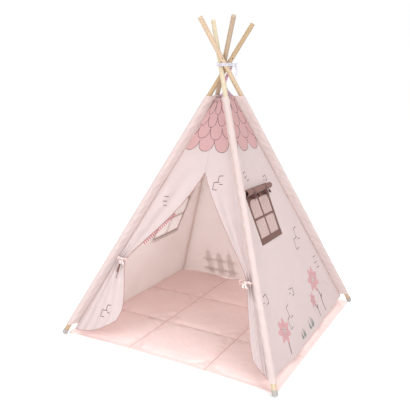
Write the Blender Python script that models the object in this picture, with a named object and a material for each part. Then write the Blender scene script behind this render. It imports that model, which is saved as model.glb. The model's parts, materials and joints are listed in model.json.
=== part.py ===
"""Child's play tent: four wooden poles lashed near their tops, a sewn cloth cover
with a curtained door and two windows, and a quilted floor mat.

Metres, +Z up. The origin is the middle of the floor, and the door faces -Y.
"""
import bmesh
import bpy
import numpy as np
from mathutils import Matrix, Vector

# Poles and the way they stand
BASE_WIDTH = 1.20            # between the pole feet, along X
BASE_DEPTH = 1.20            # between the pole feet, along Y
PASS_HEIGHT = 1.390          # where the poles pass each other
POLE_LENGTH = 1.889          # from the floor to the tip, along the pole
POLE_DIA = 0.0245
PASS_GAP = 0.0007            # between two poles that pass
POLE_CHAMFER = 0.0015
PASS_CENTRE = (0.0157, 0.0070)
# where each pole passes, seen from above, in shares of one pole's thickness
PASS_PLAN = {
    "front_left": (0.512, 0.536),
    "front_right": (-0.563, -0.583),
    "back_right": (0.623, -0.786),
    "back_left": (-0.575, 0.825),
}
CORNERS = {
    "front_left": (-1, -1),
    "front_right": (1, -1),
    "back_right": (1, 1),
    "back_left": (-1, 1),
}
FOLD_DEG = 26.0              # how far each pole swings in

# Connector of the two pole sections, foot cap and cord hole
FIT = 0.0003                 # between pieces that touch
JOINT_AT = POLE_LENGTH / 2   # middle of the connector, along the pole
CONNECTOR_LENGTH = 0.14
CONNECTOR_WALL = 0.0008
CAP_LENGTH = 0.023
CAP_WALL = 0.0014
CAP_FLOOR = 0.0032
CORD_HOLE_DIA = 0.006
CORD_HOLE_ABOVE = 0.038      # above the passing point, along the pole

# Cover
CLOTH = 0.0015               # wall cloth with its lining
SLEEVE_CLOTH = 0.0012
SLEEVE_ROOM = 0.0014         # loose room round the connector, each side
SEAM_REACH = POLE_DIA / 2 + 0.02375  # from the pole's middle to the corner seam
SEAM_EDGE = 0.0026           # thickness of the sewn edge of a sleeve
SEAM_GAP = 0.0010
SLEEVE_END = 0.056           # height of a sleeve's lower end
HEM_HEIGHT = 0.044           # of a wall at its corner seams
# how much lower each hem hangs between its corners, and where most (across)
HEM_DROPS = {"right": (0.022, 0.36), "back": (0.028, 0.5), "left": (0.024, 0.55)}
HEM_SWELL = 0.009            # how far the cloth swells out there
COVER_TOP = PASS_HEIGHT - 0.155
PEAK_RISE = 0.052            # the back wall's peak above the other walls
WALL_BOW = 0.008             # how far a taut wall draws in
FOLD_DEPTH = 0.004           # of the soft folds above a hem

# Door
DOOR_SPLIT = 0.53            # share of the front wall's width left of the slit
DOOR_PEAK = 0.70 * COVER_TOP  # height of the slit's upper end
GATHER_DEPTH = 0.009         # of the pleats at a tie
GATHER_PLEATS = 3
# tie height, gathered width, spread below it, curve of the open edge,
# hem height at the seam and at the open edge, swell of the hanging part
CURTAINS = {
    "left": dict(tie=0.400, width=0.051, spread=0.215, curve=1.28, low=0.036, high=0.115, hem=2.6, swell=0.020),
    "right": dict(tie=0.409, width=0.038, spread=0.068, curve=1.38, low=0.044, high=0.104, hem=1.2, swell=0.010),
}
TIE_WIDTH = 0.010
TIE_CLOTH = 0.0012
TRIM_WIDTH = 0.016
TRIM_PITCH = 0.013

# Windows: sides from the wall's middle line, and the lower and upper edges
WINDOWS = {
    "right": dict(low=-0.180, high=0.066, sill=0.530, head=0.755),
    "left": dict(low=-0.195, high=0.095, sill=0.398, head=0.644),
}
FRAME_SIDE = 0.017
FRAME_SILL = 0.027
BAR_WIDTH = 0.011
FRAME_CLOTH = 0.0010
NET_CLOTH = 0.0006
NET_LAP = 0.009
BLIND_RADIUS = 0.014
BLIND_CLOTH = 0.0020
BLIND_HEADER = 0.017
BLIND_OVERHANG = 0.012

# Lashing and strap
CORD_DIA = 0.005
CORD_CLEAR = 0.0005
CORD_PITCH_GAP = 0.0006
CORD_TURNS = 3
BOW_TURN = 29.0              # direction of the bow from the lashing, degrees from +X
STRAP_WIDTH = 0.012
STRAP_CLOTH = 0.0012

# Floor mat
MAT_MARGIN = 0.020           # from the line between two pole feet to the mat's edge
MAT_WIDTH = BASE_WIDTH - 2 * MAT_MARGIN
MAT_DEPTH = BASE_DEPTH - 2 * MAT_MARGIN
MAT_CORNER = 0.026
MAT_SEAMS_X = (-0.175 * MAT_WIDTH, 0.191 * MAT_WIDTH)
MAT_SEAMS_Y = (-0.183 * MAT_DEPTH, 0.155 * MAT_DEPTH)
MAT_EDGE = 0.008
MAT_SEAM = 0.007
MAT_CROWN = 0.017

SIDES = 20                   # round a pole
UP = np.array([0.0, 0.0, 1.0])


def srgb(text):
    """Linear colour of a hex sRGB colour."""
    c = np.array([int(text[i:i + 2], 16) for i in (0, 2, 4)]) / 255
    c = np.where(c <= 0.04045, c / 12.92, ((c + 0.055) / 1.055) ** 2.4)
    return (*(float(v) for v in c), 1.0)


def material(name, colour, roughness, metallic=0.0):
    found = bpy.data.materials.new(name)
    found.use_nodes = True
    shader = found.node_tree.nodes["Principled BSDF"]
    shader.inputs["Base Color"].default_value = srgb(colour)
    shader.inputs["Roughness"].default_value = roughness
    shader.inputs["Metallic"].default_value = metallic
    return found


def mesh_object(name, verts, faces, stuff, parent=None, smooth=True):
    """A named object from points and faces, its places taken in its parent's frame."""
    mesh = bpy.data.meshes.new(name)
    mesh.from_pydata([tuple(float(c) for c in v) for v in verts], [], faces)
    mesh.validate()
    mesh.update()
    if smooth:
        mesh.shade_smooth()
        mesh.set_sharp_from_angle(angle=np.radians(40))
    mesh.materials.append(stuff)
    made = bpy.data.objects.new(name, mesh)
    bpy.context.scene.collection.objects.link(made)
    if parent is not None:
        made.parent = parent
    return made


def boolean(target, cutter, operation):
    """Cut or join with a hidden tool object."""
    cutter.hide_render = True
    cutter.display_type = "WIRE"
    step = target.modifiers.new(operation.title(), "BOOLEAN")
    step.operation = operation
    step.solver = "EXACT"
    step.object = cutter


def turned(profile, sides=SIDES, ring=False):
    """Points and faces of a profile of (radius, height) turned about Z.

    A ring profile is a closed outline; otherwise it runs up from axis to axis.
    """
    verts, faces = [], []
    body = profile if ring else profile[1:-1]
    angles = [2 * np.pi * k / sides for k in range(sides)]
    for r, z in body:
        verts += [(r * np.cos(a), r * np.sin(a), z) for a in angles]
    rows = len(body)
    for i in range(rows if ring else rows - 1):
        a, b = i * sides, (i + 1) % rows * sides
        for k in range(sides):
            n = (k + 1) % sides
            faces.append((a + k, a + n, b + n, b + k))
    if not ring:
        verts += [(0, 0, profile[0][1]), (0, 0, profile[-1][1])]
        last = (rows - 1) * sides
        for k in range(sides):
            n = (k + 1) % sides
            faces.append((n, k, rows * sides))
            faces.append((last + k, last + n, rows * sides + 1))
    return verts, faces


def cloth(points, thickness, mask=None, normals=None):
    """Points and faces of a sheet: a grid of middle points given a thickness.

    The outer side is where (first direction) x (second direction) points. A mask
    leaves cells out, and every open edge is closed by a wall.
    """
    p = np.asarray(points, float)
    nu, nv = p.shape[:2]
    if normals is None:
        normals = np.cross(np.gradient(p, axis=0), np.gradient(p, axis=1))
    n = normals / np.linalg.norm(normals, axis=2, keepdims=True)
    mask = np.ones((nu - 1, nv - 1), bool) if mask is None else mask
    used, verts, faces = {}, [], []

    def corner(i, j, side):
        key = (i, j, side)
        if key not in used:
            used[key] = len(verts)
            verts.append(p[i, j] + n[i, j] * side * thickness / 2)
        return used[key]

    for i, j in np.argwhere(mask):
        loop = [(i, j), (i + 1, j), (i + 1, j + 1), (i, j + 1)]
        beyond = [(i, j - 1), (i + 1, j), (i, j + 1), (i - 1, j)]
        faces.append(tuple(corner(*q, 1) for q in loop))
        faces.append(tuple(corner(*q, -1) for q in reversed(loop)))
        for k, (a, b) in enumerate(beyond):
            if 0 <= a < nu - 1 and 0 <= b < nv - 1 and mask[a, b]:
                continue
            q, r = loop[k], loop[(k + 1) % 4]
            faces.append((corner(*q, 1), corner(*q, -1), corner(*r, -1), corner(*r, 1)))
    return verts, faces


def extruded(outline, start, along, across, up, length):
    """Points and faces of a flat outline, counter-clockwise seen from +along, extruded."""
    start, along, across, up = (np.asarray(v, float) for v in (start, along, across, up))
    count = len(outline)
    near = [start + across * x + up * y for x, y in outline]
    verts = near + [v + along * length for v in near]
    faces = [tuple(reversed(range(count))), tuple(range(count, 2 * count))]
    for k in range(count):
        n = (k + 1) % count
        faces.append((k, n, count + n, count + k))
    return verts, faces


def swept(path, widths, heights, side, round_sides=0):
    """Points and faces of a ribbon or a cord along a path.

    side is the direction of the ribbon's width. A cord has round_sides sides.
    """
    path = np.asarray(path, float)
    way = np.gradient(path, axis=0)
    way /= np.linalg.norm(way, axis=1, keepdims=True)
    verts, faces = [], []
    side = np.asarray(side, float)
    for k, (p, t) in enumerate(zip(path, way, strict=True)):
        s = side - t * (side @ t)
        s /= np.linalg.norm(s)
        u = np.cross(t, s)
        w, h = widths[k] / 2, heights[k] / 2
        if round_sides:
            angles = [2 * np.pi * i / round_sides for i in range(round_sides)]
            verts += [p + s * w * np.cos(a) + u * h * np.sin(a) for a in angles]
        else:
            verts += [p + s * w + u * h, p - s * w + u * h, p - s * w - u * h, p + s * w - u * h]
    ring = round_sides or 4
    for k in range(len(path) - 1):
        for i in range(ring):
            a, b = k * ring + i, k * ring + (i + 1) % ring
            faces.append((a, b, b + ring, a + ring))
    faces.append(tuple(reversed(range(ring))))
    faces.append(tuple(range((len(path) - 1) * ring, len(path) * ring)))
    return verts, faces


def smooth_path(points, count):
    """A smooth curve (Catmull-Rom) through points, in count even steps."""
    q = np.asarray(points, float)
    q = np.vstack([2 * q[0] - q[1], q, 2 * q[-1] - q[-2]])
    fine = []
    for k in range(1, len(q) - 2):
        for t in np.linspace(0, 1, 24, endpoint=False):
            a = 2 * q[k]
            b = q[k + 1] - q[k - 1]
            c = 2 * q[k - 1] - 5 * q[k] + 4 * q[k + 1] - q[k + 2]
            d = -q[k - 1] + 3 * q[k] - 3 * q[k + 1] + q[k + 2]
            fine.append(0.5 * (a + b * t + c * t * t + d * t ** 3))
    fine = np.array(fine + [q[-2]])
    run = np.concatenate([[0], np.cumsum(np.linalg.norm(np.diff(fine, axis=0), axis=1))])
    even = np.linspace(0, run[-1], count)
    return np.stack([np.interp(even, run, fine[:, k]) for k in range(3)], axis=1)


class Pole:
    """One pole: its foot point, passing point and the frame of its fold pivot."""

    def __init__(self, corner, spread):
        sx, sy = CORNERS[corner]
        self.corner = corner
        self.foot = np.array([sx * BASE_WIDTH / 2, sy * BASE_DEPTH / 2, 0.0])
        px, py = PASS_PLAN[corner]
        self.passing = np.array([
            PASS_CENTRE[0] + px * spread,
            PASS_CENTRE[1] + py * spread,
            PASS_HEIGHT,
        ])
        run = self.passing - self.foot
        self.below = float(np.linalg.norm(run))
        self.along = run / self.below
        self.inward = np.array([self.along[0], self.along[1], 0.0])
        self.sin = float(np.linalg.norm(self.inward))
        self.inward /= self.sin
        self.cos = float(self.along[2])
        self.under = self.inward * self.cos - UP * self.sin
        self.side = np.cross(self.along, self.under)

    def at(self, distance, x=0.0, y=0.0):
        """The point a distance up from the floor point, moved across the pole."""
        return self.foot + self.along * distance + self.under * x + self.side * y

    def seam(self, height):
        """The point of the corner seam at a height."""
        start = self.foot + self.under * SEAM_REACH
        return start + self.along * (height - start[2]) / self.along[2]

    def swung(self, degrees):
        """The pole's direction when it is folded in by an angle."""
        lean = np.arctan2(self.sin, self.cos) - np.radians(degrees)
        return self.inward * np.sin(lean) + UP * np.cos(lean)


def line_gap(a, b):
    """The least distance between two poles' middle lines."""
    across = np.cross(a.along, b.along)
    return abs((a.passing - b.passing) @ across) / np.linalg.norm(across)


def stand_poles():
    """The four poles, spread so that the closest two just clear each other."""
    spread = POLE_DIA + PASS_GAP
    for _ in range(8):
        poles = {corner: Pole(corner, spread) for corner in CORNERS}
        every = list(poles.values())
        least = min(line_gap(a, b) for k, a in enumerate(every) for b in every[k + 1:])
        spread *= (POLE_DIA + PASS_GAP) / least
    print("least gap between poles: %.2f mm" % (1000 * (least - POLE_DIA)))
    return poles


class Wall:
    """One wall of the cover, stretched between two corner seams.

    across runs from 0 at the first seam to 1 at the second, and the outer side is
    where (across) x (up) points.
    """

    def __init__(self, first, second):
        self.first, self.second = first, second

    def ends(self, height):
        return self.first.seam(height), self.second.seam(height)

    def width(self, height):
        a, b = self.ends(height)
        return float(np.linalg.norm(b - a))

    def point(self, across, height, out=0.0):
        a, b = self.ends(height)
        draw = 4 * across * (1 - across) * WALL_BOW * (COVER_TOP - height) / COVER_TOP
        return a + (b - a) * across + self.outward(height) * (out - max(draw, 0))

    def outward(self, height):
        a, b = self.ends(height)
        c, d = self.ends(height + 0.1)
        n = np.cross(b - a, (c + d) / 2 - (a + b) / 2)
        return n / np.linalg.norm(n)

    def upward(self, height):
        a, b = self.ends(height)
        x = (b - a) / np.linalg.norm(b - a)
        return np.cross(self.outward(height), x)

    def share(self, place, height):
        """across for a place measured in metres from the wall's middle line."""
        return 0.5 + place / self.width(height)


def ease(t):
    t = np.clip(t, 0, 1)
    return t * t * (3 - 2 * t)


def remove_all():
    for old in list(bpy.data.objects):
        bpy.data.objects.remove(old, do_unlink=True)


def make_pole(pole, stuff):
    """Two sections, their connector, the foot cap and the sleeve, on the fold pivot."""
    pivot = bpy.data.objects.new("fold_" + pole.corner, None)
    pivot.empty_display_size = 0.05
    axes = Matrix([[*row] for row in np.stack([pole.under, pole.side, pole.along], axis=1)])
    pivot.matrix_world = Matrix.Translation(Vector(pole.passing)) @ axes.to_4x4()
    bpy.context.scene.collection.objects.link(pivot)
    down = -pole.below
    r, c = POLE_DIA / 2, POLE_CHAMFER
    cap_r = r + FIT + CAP_WALL
    tan = pole.sin / pole.cos
    # the cap's lowest corner touches the floor
    cap_low = down + max((cap_r - c) * tan, cap_r * tan - c)

    def rod(name, low, high):
        profile = [(0, low), (r - c, low), (r, low + c), (r, high - c), (r - c, high), (0, high)]
        return mesh_object(name, *turned(profile), stuff["wood"], pivot)

    middle = down + JOINT_AT
    rod("pole_lower_" + pole.corner, cap_low + CAP_FLOOR + FIT, middle - FIT / 2)
    upper = rod("pole_upper_" + pole.corner, middle + FIT / 2, down + POLE_LENGTH)
    drill_r = CORD_HOLE_DIA / 2
    drill, faces = turned([(0, -POLE_DIA), (drill_r, -POLE_DIA), (drill_r, POLE_DIA), (0, POLE_DIA)], 10)
    # turned about Z, then laid along the pole's sideways axis
    drill = [(x, -z, y + CORD_HOLE_ABOVE) for x, y, z in drill]
    boolean(upper, mesh_object("drill_" + pole.corner, drill, faces, stuff["wood"], pivot), "DIFFERENCE")

    con_in = r + FIT
    con_out = con_in + CONNECTOR_WALL
    low, high = middle - CONNECTOR_LENGTH / 2, middle + CONNECTOR_LENGTH / 2
    e = CONNECTOR_WALL * 0.4
    ring = [(con_in, high), (con_in, low), (con_out - e, low), (con_out, low + e),
            (con_out, high - e), (con_out - e, high)]
    mesh_object("pole_connector_" + pole.corner, *turned(ring, ring=True), stuff["steel"], pivot)

    cap_in = r + FIT
    top = cap_low + CAP_LENGTH
    inner = cap_low + CAP_FLOOR
    cup = [(0, cap_low), (cap_r - c, cap_low), (cap_r, cap_low + c), (cap_r, top - c * 0.5),
           (cap_r - c * 0.4, top), (cap_in, top), (cap_in, inner), (0, inner)]
    mesh_object("foot_cap_" + pole.corner, *turned(cup), stuff["cap"], pivot)

    # the sleeve: a drop-shaped tunnel, round the pole and sewn flat at the corner seam
    inside = con_out + SLEEVE_ROOM
    shift = inside - con_out - FIT
    outside = inside + SLEEVE_CLOTH
    tip = SEAM_REACH - SEAM_GAP * 0.3
    loops = []
    for radius, reach, half in ((outside, tip, SEAM_EDGE / 2), (inside, tip - 0.0035, 0.0004)):
        lead = np.arccos(radius / (reach - shift))
        arc = np.linspace(lead, 2 * np.pi - lead, 13)
        loop = [(reach, half)]
        loop += [(shift + radius * np.cos(a), radius * np.sin(a)) for a in arc]
        loops.append(loop + [(reach, -half)])
    verts, faces = [], []
    count = len(loops[0])
    levels = np.linspace(SLEEVE_END, COVER_TOP, 5)
    for k, height in enumerate(levels):
        for loop in loops:
            # both ends are cut level
            base = height / pole.cos - pole.below
            verts += [(x, y, base + x * tan) for x, y in loop]
    for k in range(len(levels) - 1):
        a, b = k * 2 * count, (k + 1) * 2 * count
        for i in range(count):
            n = (i + 1) % count
            faces.append((a + i, a + n, b + n, b + i))
            faces.append((a + count + n, a + count + i, b + count + i, b + count + n))
    last = (len(levels) - 1) * 2 * count
    for i in range(count):
        n = (i + 1) % count
        faces.append((n, i, count + i, count + n))
        faces.append((last + i, last + n, last + count + n, last + count + i))
    mesh_object("sleeve_" + pole.corner, verts, faces, stuff["sleeve"], pivot)
    return pivot


def inset(wall, height):
    """The share of a wall's width that its sewn edge stays off the seam line."""
    return (CLOTH / 2 + SEAM_GAP) / wall.width(height)


def hem_line(across, side):
    """Height of a wall's hem: it hangs a little lower between the corner seams."""
    drop, lowest = HEM_DROPS[side]
    return HEM_HEIGHT - drop * np.sin(np.pi * np.clip(across, 0, 1) ** (np.log(0.5) / np.log(lowest)))


def hem_folds(across, height, side):
    """Soft upright folds and a swell that die out above the hem."""
    drop, lowest = HEM_DROPS[side]
    fade = ease((0.36 - height) / 0.36) * 4 * across * (1 - across)
    wave = np.sin(2 * np.pi * (3.2 * across + lowest)) + 0.5 * np.sin(2 * np.pi * (5.7 * across + 2 * lowest))
    return fade * (FOLD_DEPTH * wave + HEM_SWELL * np.exp(-((across - lowest) / 0.22) ** 2))


def window_wall(name, wall, side, stuff):
    """A side wall with its window opening, net, frame, blind and ribbons."""
    spec = WINDOWS[side]
    low, high, sill, head = spec["low"], spec["high"], spec["sill"], spec["head"]
    hole = (low + FRAME_SIDE, high - FRAME_SIDE, sill + FRAME_SILL, head - FRAME_SIDE)

    left, middle, right = 5, 4, 5
    below = 5
    heights = [hole[2]] * below + [hole[2], (hole[2] + hole[3]) / 2, hole[3]]
    heights += list(np.linspace(hole[3], COVER_TOP, 6)[1:])

    def across_at(i, z):
        """across of an upright line of the grid; above the window the lines lean in."""
        start = inset(wall, z)
        width = wall.width(min(z, head))
        a, b = 0.5 + hole[0] / width, 0.5 + hole[1] / width
        if i <= left:
            return start + (a - start) * i / left
        if i <= left + middle:
            return a + (b - a) * (i - left) / middle
        return b + (1 - start - b) * (i - left - middle) / right

    grid = []
    for i in range(left + middle + right + 1):
        column = []
        for j, z in enumerate(heights):
            if j < below:
                # the rows below the opening run down to the hem
                foot = hem_line(across_at(i, HEM_HEIGHT), side)
                z = foot + (z - foot) * j / below
            across = across_at(i, z)
            column.append(wall.point(across, z, hem_folds(across, z, side)))
        grid.append(column)
    mask = np.ones((left + middle + right, len(heights) - 1), bool)
    mask[left:left + middle, 5:7] = False
    mesh_object(name, *cloth(grid, CLOTH, mask), stuff["cover"])

    # the net is sewn behind the opening
    xs = np.linspace(hole[0] - NET_LAP, hole[1] + NET_LAP, 5)
    zs = np.linspace(hole[2] - NET_LAP, hole[3] + NET_LAP, 5)
    back = -(CLOTH / 2 + FIT + NET_CLOTH / 2)
    net = [[wall.point(wall.share(x, z), z, back) for z in zs] for x in xs]
    mesh_object("window_net_" + side, *cloth(net, NET_CLOTH), stuff["net"])

    # the frame: a border and two bars, as one cut piece
    mid_x, mid_z = (hole[0] + hole[1]) / 2, (hole[2] + hole[3]) / 2
    h = BAR_WIDTH / 2
    xs = [low, hole[0], (hole[0] + mid_x) / 2, mid_x - h, mid_x + h, (hole[1] + mid_x) / 2, hole[1], high]
    zs = [sill, hole[2], (hole[2] + mid_z) / 2, mid_z - h, mid_z + h, (hole[3] + mid_z) / 2, hole[3], head]
    front = CLOTH / 2 + FIT + FRAME_CLOTH / 2
    frame = [[wall.point(wall.share(x, z), z, front) for z in zs] for x in xs]
    mask = np.ones((7, 7), bool)
    for i in (1, 2, 4, 5):
        for j in (1, 2, 4, 5):
            mask[i, j] = False
    mesh_object("window_frame_" + side, *cloth(frame, FRAME_CLOTH, mask), stuff["frame"])

    # the blind, rolled up above the frame and sewn on by its header
    top = head + FIT + BLIND_RADIUS * 1.25
    out = wall.outward(top)
    up = wall.upward(top)
    a = wall.point(wall.share(low - BLIND_OVERHANG, top), top)
    b = wall.point(wall.share(high + BLIND_OVERHANG, top), top)
    along = (b - a) / np.linalg.norm(b - a)
    r = BLIND_RADIUS
    under = CLOTH / 2 + FIT + WALL_BOW * 0.05
    turn = np.radians(np.linspace(-72, 250, 16))
    lift = under + BLIND_CLOTH - r * np.sin(turn[0])
    # outline in (up, out): the header lies on the wall and runs into the roll
    outline = [(BLIND_HEADER, under), (BLIND_HEADER, under + BLIND_CLOTH)]
    outline += [(r * np.cos(q), lift + r * np.sin(q)) for q in turn]
    outline += [(r * np.cos(turn[-1]), under)]
    verts, faces = extruded(outline, a, along, up, out, float(np.linalg.norm(b - a)))
    mesh_object("window_blind_" + side, verts, faces, stuff["frame"])

    # two ribbons hold the roll
    for number, share in (("a", 0.24), ("b", 0.74)):
        place = a + (b - a) * share
        inner, outer = r + FIT, r + FIT + TIE_CLOTH
        sweep = turn[1:-1]
        loop = [(outer * np.cos(q), lift + outer * np.sin(q)) for q in sweep]
        loop += [(inner * np.cos(q), lift + inner * np.sin(q)) for q in sweep[::-1]]
        verts, faces = extruded(loop, place - along * TIE_WIDTH / 2, along, up, out, TIE_WIDTH)
        q = np.radians(120)
        away = up * np.cos(q) + out * np.sin(q)
        rising = up * np.sin(q) - out * np.cos(q)
        spot = place + out * lift + away * (outer + 0.0044)
        ribbon_bow(
            "window_bow_%s_%s" % (side, number), spot, along, rising, away,
            0.030, 0.007, 0.0010, 0.0055, stuff["frame"], 0.034, band=(verts, faces))


def ribbon_bow(name, spot, along, up, out, loop, width, thickness, knot, stuff, tail, band=None, round_sides=0):
    """A tied bow: two loops and two tails joined in a knot, with the band it closes."""
    spot, along, up, out = (np.asarray(v, float) for v in (spot, along, up, out))
    pieces = []
    for way in (-1, 1):
        path = []
        for t in np.linspace(0, 1, 9):
            # a drop-shaped loop that sags towards its end
            reach = loop * np.sin(np.pi * t) ** 0.8
            lift = 0.34 * loop * np.sin(2 * np.pi * t) * (0.35 + 0.65 * np.sin(np.pi * t))
            start = knot * 0.25
            sag = -0.22 * loop * np.sin(np.pi * t) ** 2
            gap = (0.5 - t) * knot * 0.9
            path.append(spot + along * way * (start + reach) + up * (lift + sag + gap)
                        + out * (0.10 * loop * np.sin(np.pi * t)))
        path = np.array(path)
        n = len(path)
        pieces.append(swept(path, [width] * n, [thickness] * n, out, round_sides))
        path = []
        for t in np.linspace(0, 1, 6):
            path.append(spot + along * way * (knot * 0.15 + tail * 0.42 * t ** 0.8)
                        - up * (knot * 0.62 + tail * 0.9 * t)
                        + out * (0.004 * np.sin(np.pi * t) + knot * 0.1))
        path = np.array(path)
        n = len(path)
        pieces.append(swept(path, [width] * n, [thickness] * n, out, round_sides))
    form = bmesh.new()
    bmesh.ops.create_icosphere(form, subdivisions=2, radius=1.0)
    frame = Matrix([[*row] for row in np.stack([along, up, out], axis=1)])
    sized = Matrix.Diagonal((knot, knot * 0.95, knot * 0.9))
    for v in form.verts:
        v.co = Vector(spot) + frame @ (sized @ v.co)
    mesh = bpy.data.meshes.new(name)
    form.to_mesh(mesh)
    form.free()
    mesh.shade_smooth()
    mesh.materials.append(stuff)
    made = bpy.data.objects.new(name, mesh)
    bpy.context.scene.collection.objects.link(made)
    for number, piece in enumerate(pieces + ([band] if band else [])):
        tool = mesh_object("%s_part_%d" % (name, number), *piece, stuff)
        boolean(made, tool, "UNION")
    return made


def plain_wall(name, wall, stuff):
    """The back wall, whose top rises to a peak that the strap holds."""
    grid = []
    for u in np.linspace(0, 1, 15):
        column = []
        for v in np.linspace(0, 1, 13):
            across = inset(wall, HEM_HEIGHT) + (1 - 2 * inset(wall, HEM_HEIGHT)) * u
            low = hem_line(across, "back")
            rise = PEAK_RISE * (1 - abs(2 * u - 1)) ** 1.3
            z = low + (COVER_TOP - low) * v + rise * v ** 8
            start = inset(wall, min(z, COVER_TOP))
            across = start + (1 - 2 * start) * u
            column.append(wall.point(across, z, hem_folds(across, z, "back")))
        grid.append(column)
    mesh_object(name, *cloth(grid, CLOTH), stuff["cover"])
    return np.array(grid[7][-1])


def curtain_point(wall, side, u, v):
    """A point of one half of the front wall; u runs from its seam to its open edge.

    v runs from the hem (0) through the tie (0.32) and the slit's upper end (0.72)
    to the top (1). Below the slit the open edge falls away to the tie in a power
    curve, and the cloth between draws up into pleats.
    """
    spec = CURTAINS[side]
    half = DOOR_SPLIT if side == "left" else 1 - DOOR_SPLIT
    tie_v, slit_v = 0.32, 0.72
    wide_tie = wall.width(spec["tie"])
    gathered = spec["width"] / wide_tie
    if v >= slit_v:
        t = (v - slit_v) / (1 - slit_v)
        z = DOOR_PEAK + (COVER_TOP - DOOR_PEAK) * t
        open_edge = half - 0.0004 / wall.width(z)
        pleat = 0.0
        swell = 0.0
    elif v >= tie_v:
        t = (v - tie_v) / (slit_v - tie_v)
        z = spec["tie"] + (DOOR_PEAK - spec["tie"]) * t
        full = half - 0.0004 / wall.width(DOOR_PEAK)
        free = max(t - 0.012, 0) / 0.988
        open_edge = gathered + (full - gathered) * free ** spec["curve"]
        pleat = GATHER_DEPTH * np.exp(-free / 0.16) * (1 - free)
        swell = 0.0
    else:
        t = 1 - v / tie_v
        hem = spec["low"] + (spec["high"] - spec["low"]) * u ** spec["hem"]
        z = spec["tie"] + (hem - spec["tie"]) * t
        free = max(t - 0.018, 0) / 0.982
        open_edge = gathered + (spec["spread"] - gathered) * np.sin(np.pi * free / 2) ** 1.1
        open_edge *= 1 - 0.05 * ease((free - 0.8) / 0.2)
        pleat = GATHER_DEPTH * (1 - 0.7 * free)
        swell = spec["swell"] * np.sin(np.pi * free * 0.62) * np.sin(np.pi * u * 0.85)
    start = inset(wall, z)
    across = start + (open_edge - start) * u
    hold = ease(u / 0.16) * ease((0.94 - u) / 0.15)
    fold = pleat * hold * np.sin(2 * np.pi * GATHER_PLEATS * u)
    if side == "right":
        across = 1 - across
    return wall.point(across, z, fold + swell)


def front_half(name, wall, side, stuff):
    """One half of the front wall: taut above the slit, a tied-back curtain below."""
    us = np.linspace(0, 1, 6 * GATHER_PLEATS + 1)
    low = 0.32 * (1 - np.array([1, 0.84, 0.67, 0.5, 0.34, 0.2, 0.09, 0.018, 0]))
    mid = 0.32 + 0.40 * np.array([0.012, 0.05, 0.12, 0.22, 0.34, 0.48, 0.65, 0.82, 1.0])
    high = np.linspace(0.72, 1.0, 5)[1:]
    vs = [*low, *mid, *high]
    if side == "right":
        us = us[::-1]
    grid = [[curtain_point(wall, side, u, v) for v in vs] for u in us]
    mesh_object(name, *cloth(grid, CLOTH), stuff["cover"])


def door_tie(side, wall, pole, stuff):
    """The ribbon that holds a gathered curtain at the corner seam, and its bow."""
    spec = CURTAINS[side]
    z = spec["tie"]
    way = 1 if side == "left" else -1
    seam = wall.ends(z)[0 if side == "left" else 1]
    a, b = wall.ends(z)
    along = way * (b - a) / np.linalg.norm(b - a)
    out, up = wall.outward(z), wall.upward(z)
    # six points to a pleat reach 0.87 of its depth
    deep = 0.87 * GATHER_DEPTH + CLOTH * 1.1 + FIT
    wide = spec["width"] + deep * 0.55 + 0.004
    near = CLOTH / 2 + 3 * FIT + SEAM_EDGE * 0.1
    turn = np.radians(np.linspace(-90, 90, 9))
    inner = [(near, -deep)] + [(wide - deep + deep * np.cos(q), deep * np.sin(q)) for q in turn] + [(near, deep)]
    outer_deep = deep + TIE_CLOTH
    outer = [(near, -outer_deep)]
    outer += [(wide - deep + outer_deep * np.cos(q), outer_deep * np.sin(q)) for q in turn] + [(near, outer_deep)]
    outline = outer + inner[::-1]
    if way < 0:
        outline = outline[::-1]
    base = seam - up * TIE_WIDTH / 2
    verts, faces = extruded(outline, base, up, along, out, TIE_WIDTH)
    if np.cross(along, out) @ up > 0 and way < 0 or np.cross(along, out) @ up < 0 and way > 0:
        faces = [tuple(reversed(f)) for f in faces]
    # the bow's loops keep clear of the sleeve's flank, which grows with the pole
    clear = wide * 0.50 + POLE_DIA * 0.38 if side == "left" else wide * 0.78
    spot = seam + along * clear + out * (outer_deep + 0.0047)
    ribbon_bow(
        "door_tie_" + side, spot, wall_right(wall, z), up, out,
        0.036, 0.008, 0.0011, 0.0062, stuff["ribbon"], 0.040, band=(verts, faces))


def wall_right(wall, height):
    a, b = wall.ends(height)
    return (b - a) / np.linalg.norm(b - a)


def make_trim(wall, stuff):
    """A picot edging behind the left curtain's open edge: one arc every pitch."""
    v0, v1 = 0.365, 0.56
    fine = np.array([curtain_point(wall, "left", 1.0, v) for v in np.linspace(v0, v1, 60)])
    run = np.concatenate([[0], np.cumsum(np.linalg.norm(np.diff(fine, axis=0), axis=1))])
    count = int(run[-1] / TRIM_PITCH)
    steps = np.linspace(0, count * TRIM_PITCH, 2 * count + 1)
    line = np.stack([np.interp(steps, run, fine[:, k]) for k in range(3)], axis=1)
    way = np.gradient(line, axis=0)
    way /= np.linalg.norm(way, axis=1, keepdims=True)
    rows = []
    for k, (p, t) in enumerate(zip(line, way, strict=True)):
        out = wall.outward(p[2])
        # away from the curtain, into the doorway
        free = np.cross(t, out)
        back = -out * (CLOTH + 2 * FIT)
        deep = TRIM_WIDTH if k % 2 else TRIM_WIDTH * 0.62
        rows.append([p + back - free * 0.004, p + back * 1.4 + free * 0.004, p + back * 1.8 + free * deep])
    grid = np.array(rows)
    mesh_object("door_trim_left", *cloth(grid[::-1], 0.0012), stuff["trim"])


def hull(points):
    """The convex outline of points in a plane, counter-clockwise."""
    pts = sorted(map(tuple, np.round(points, 7)))

    def half(seq):
        line = []
        for p in seq:
            while len(line) > 1 and np.cross(np.subtract(line[-1], line[-2]), np.subtract(p, line[-1])) <= 0:
                line.pop()
            line.append(p)
        return line[:-1]

    return np.array(half(pts) + half(pts[::-1]))


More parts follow.
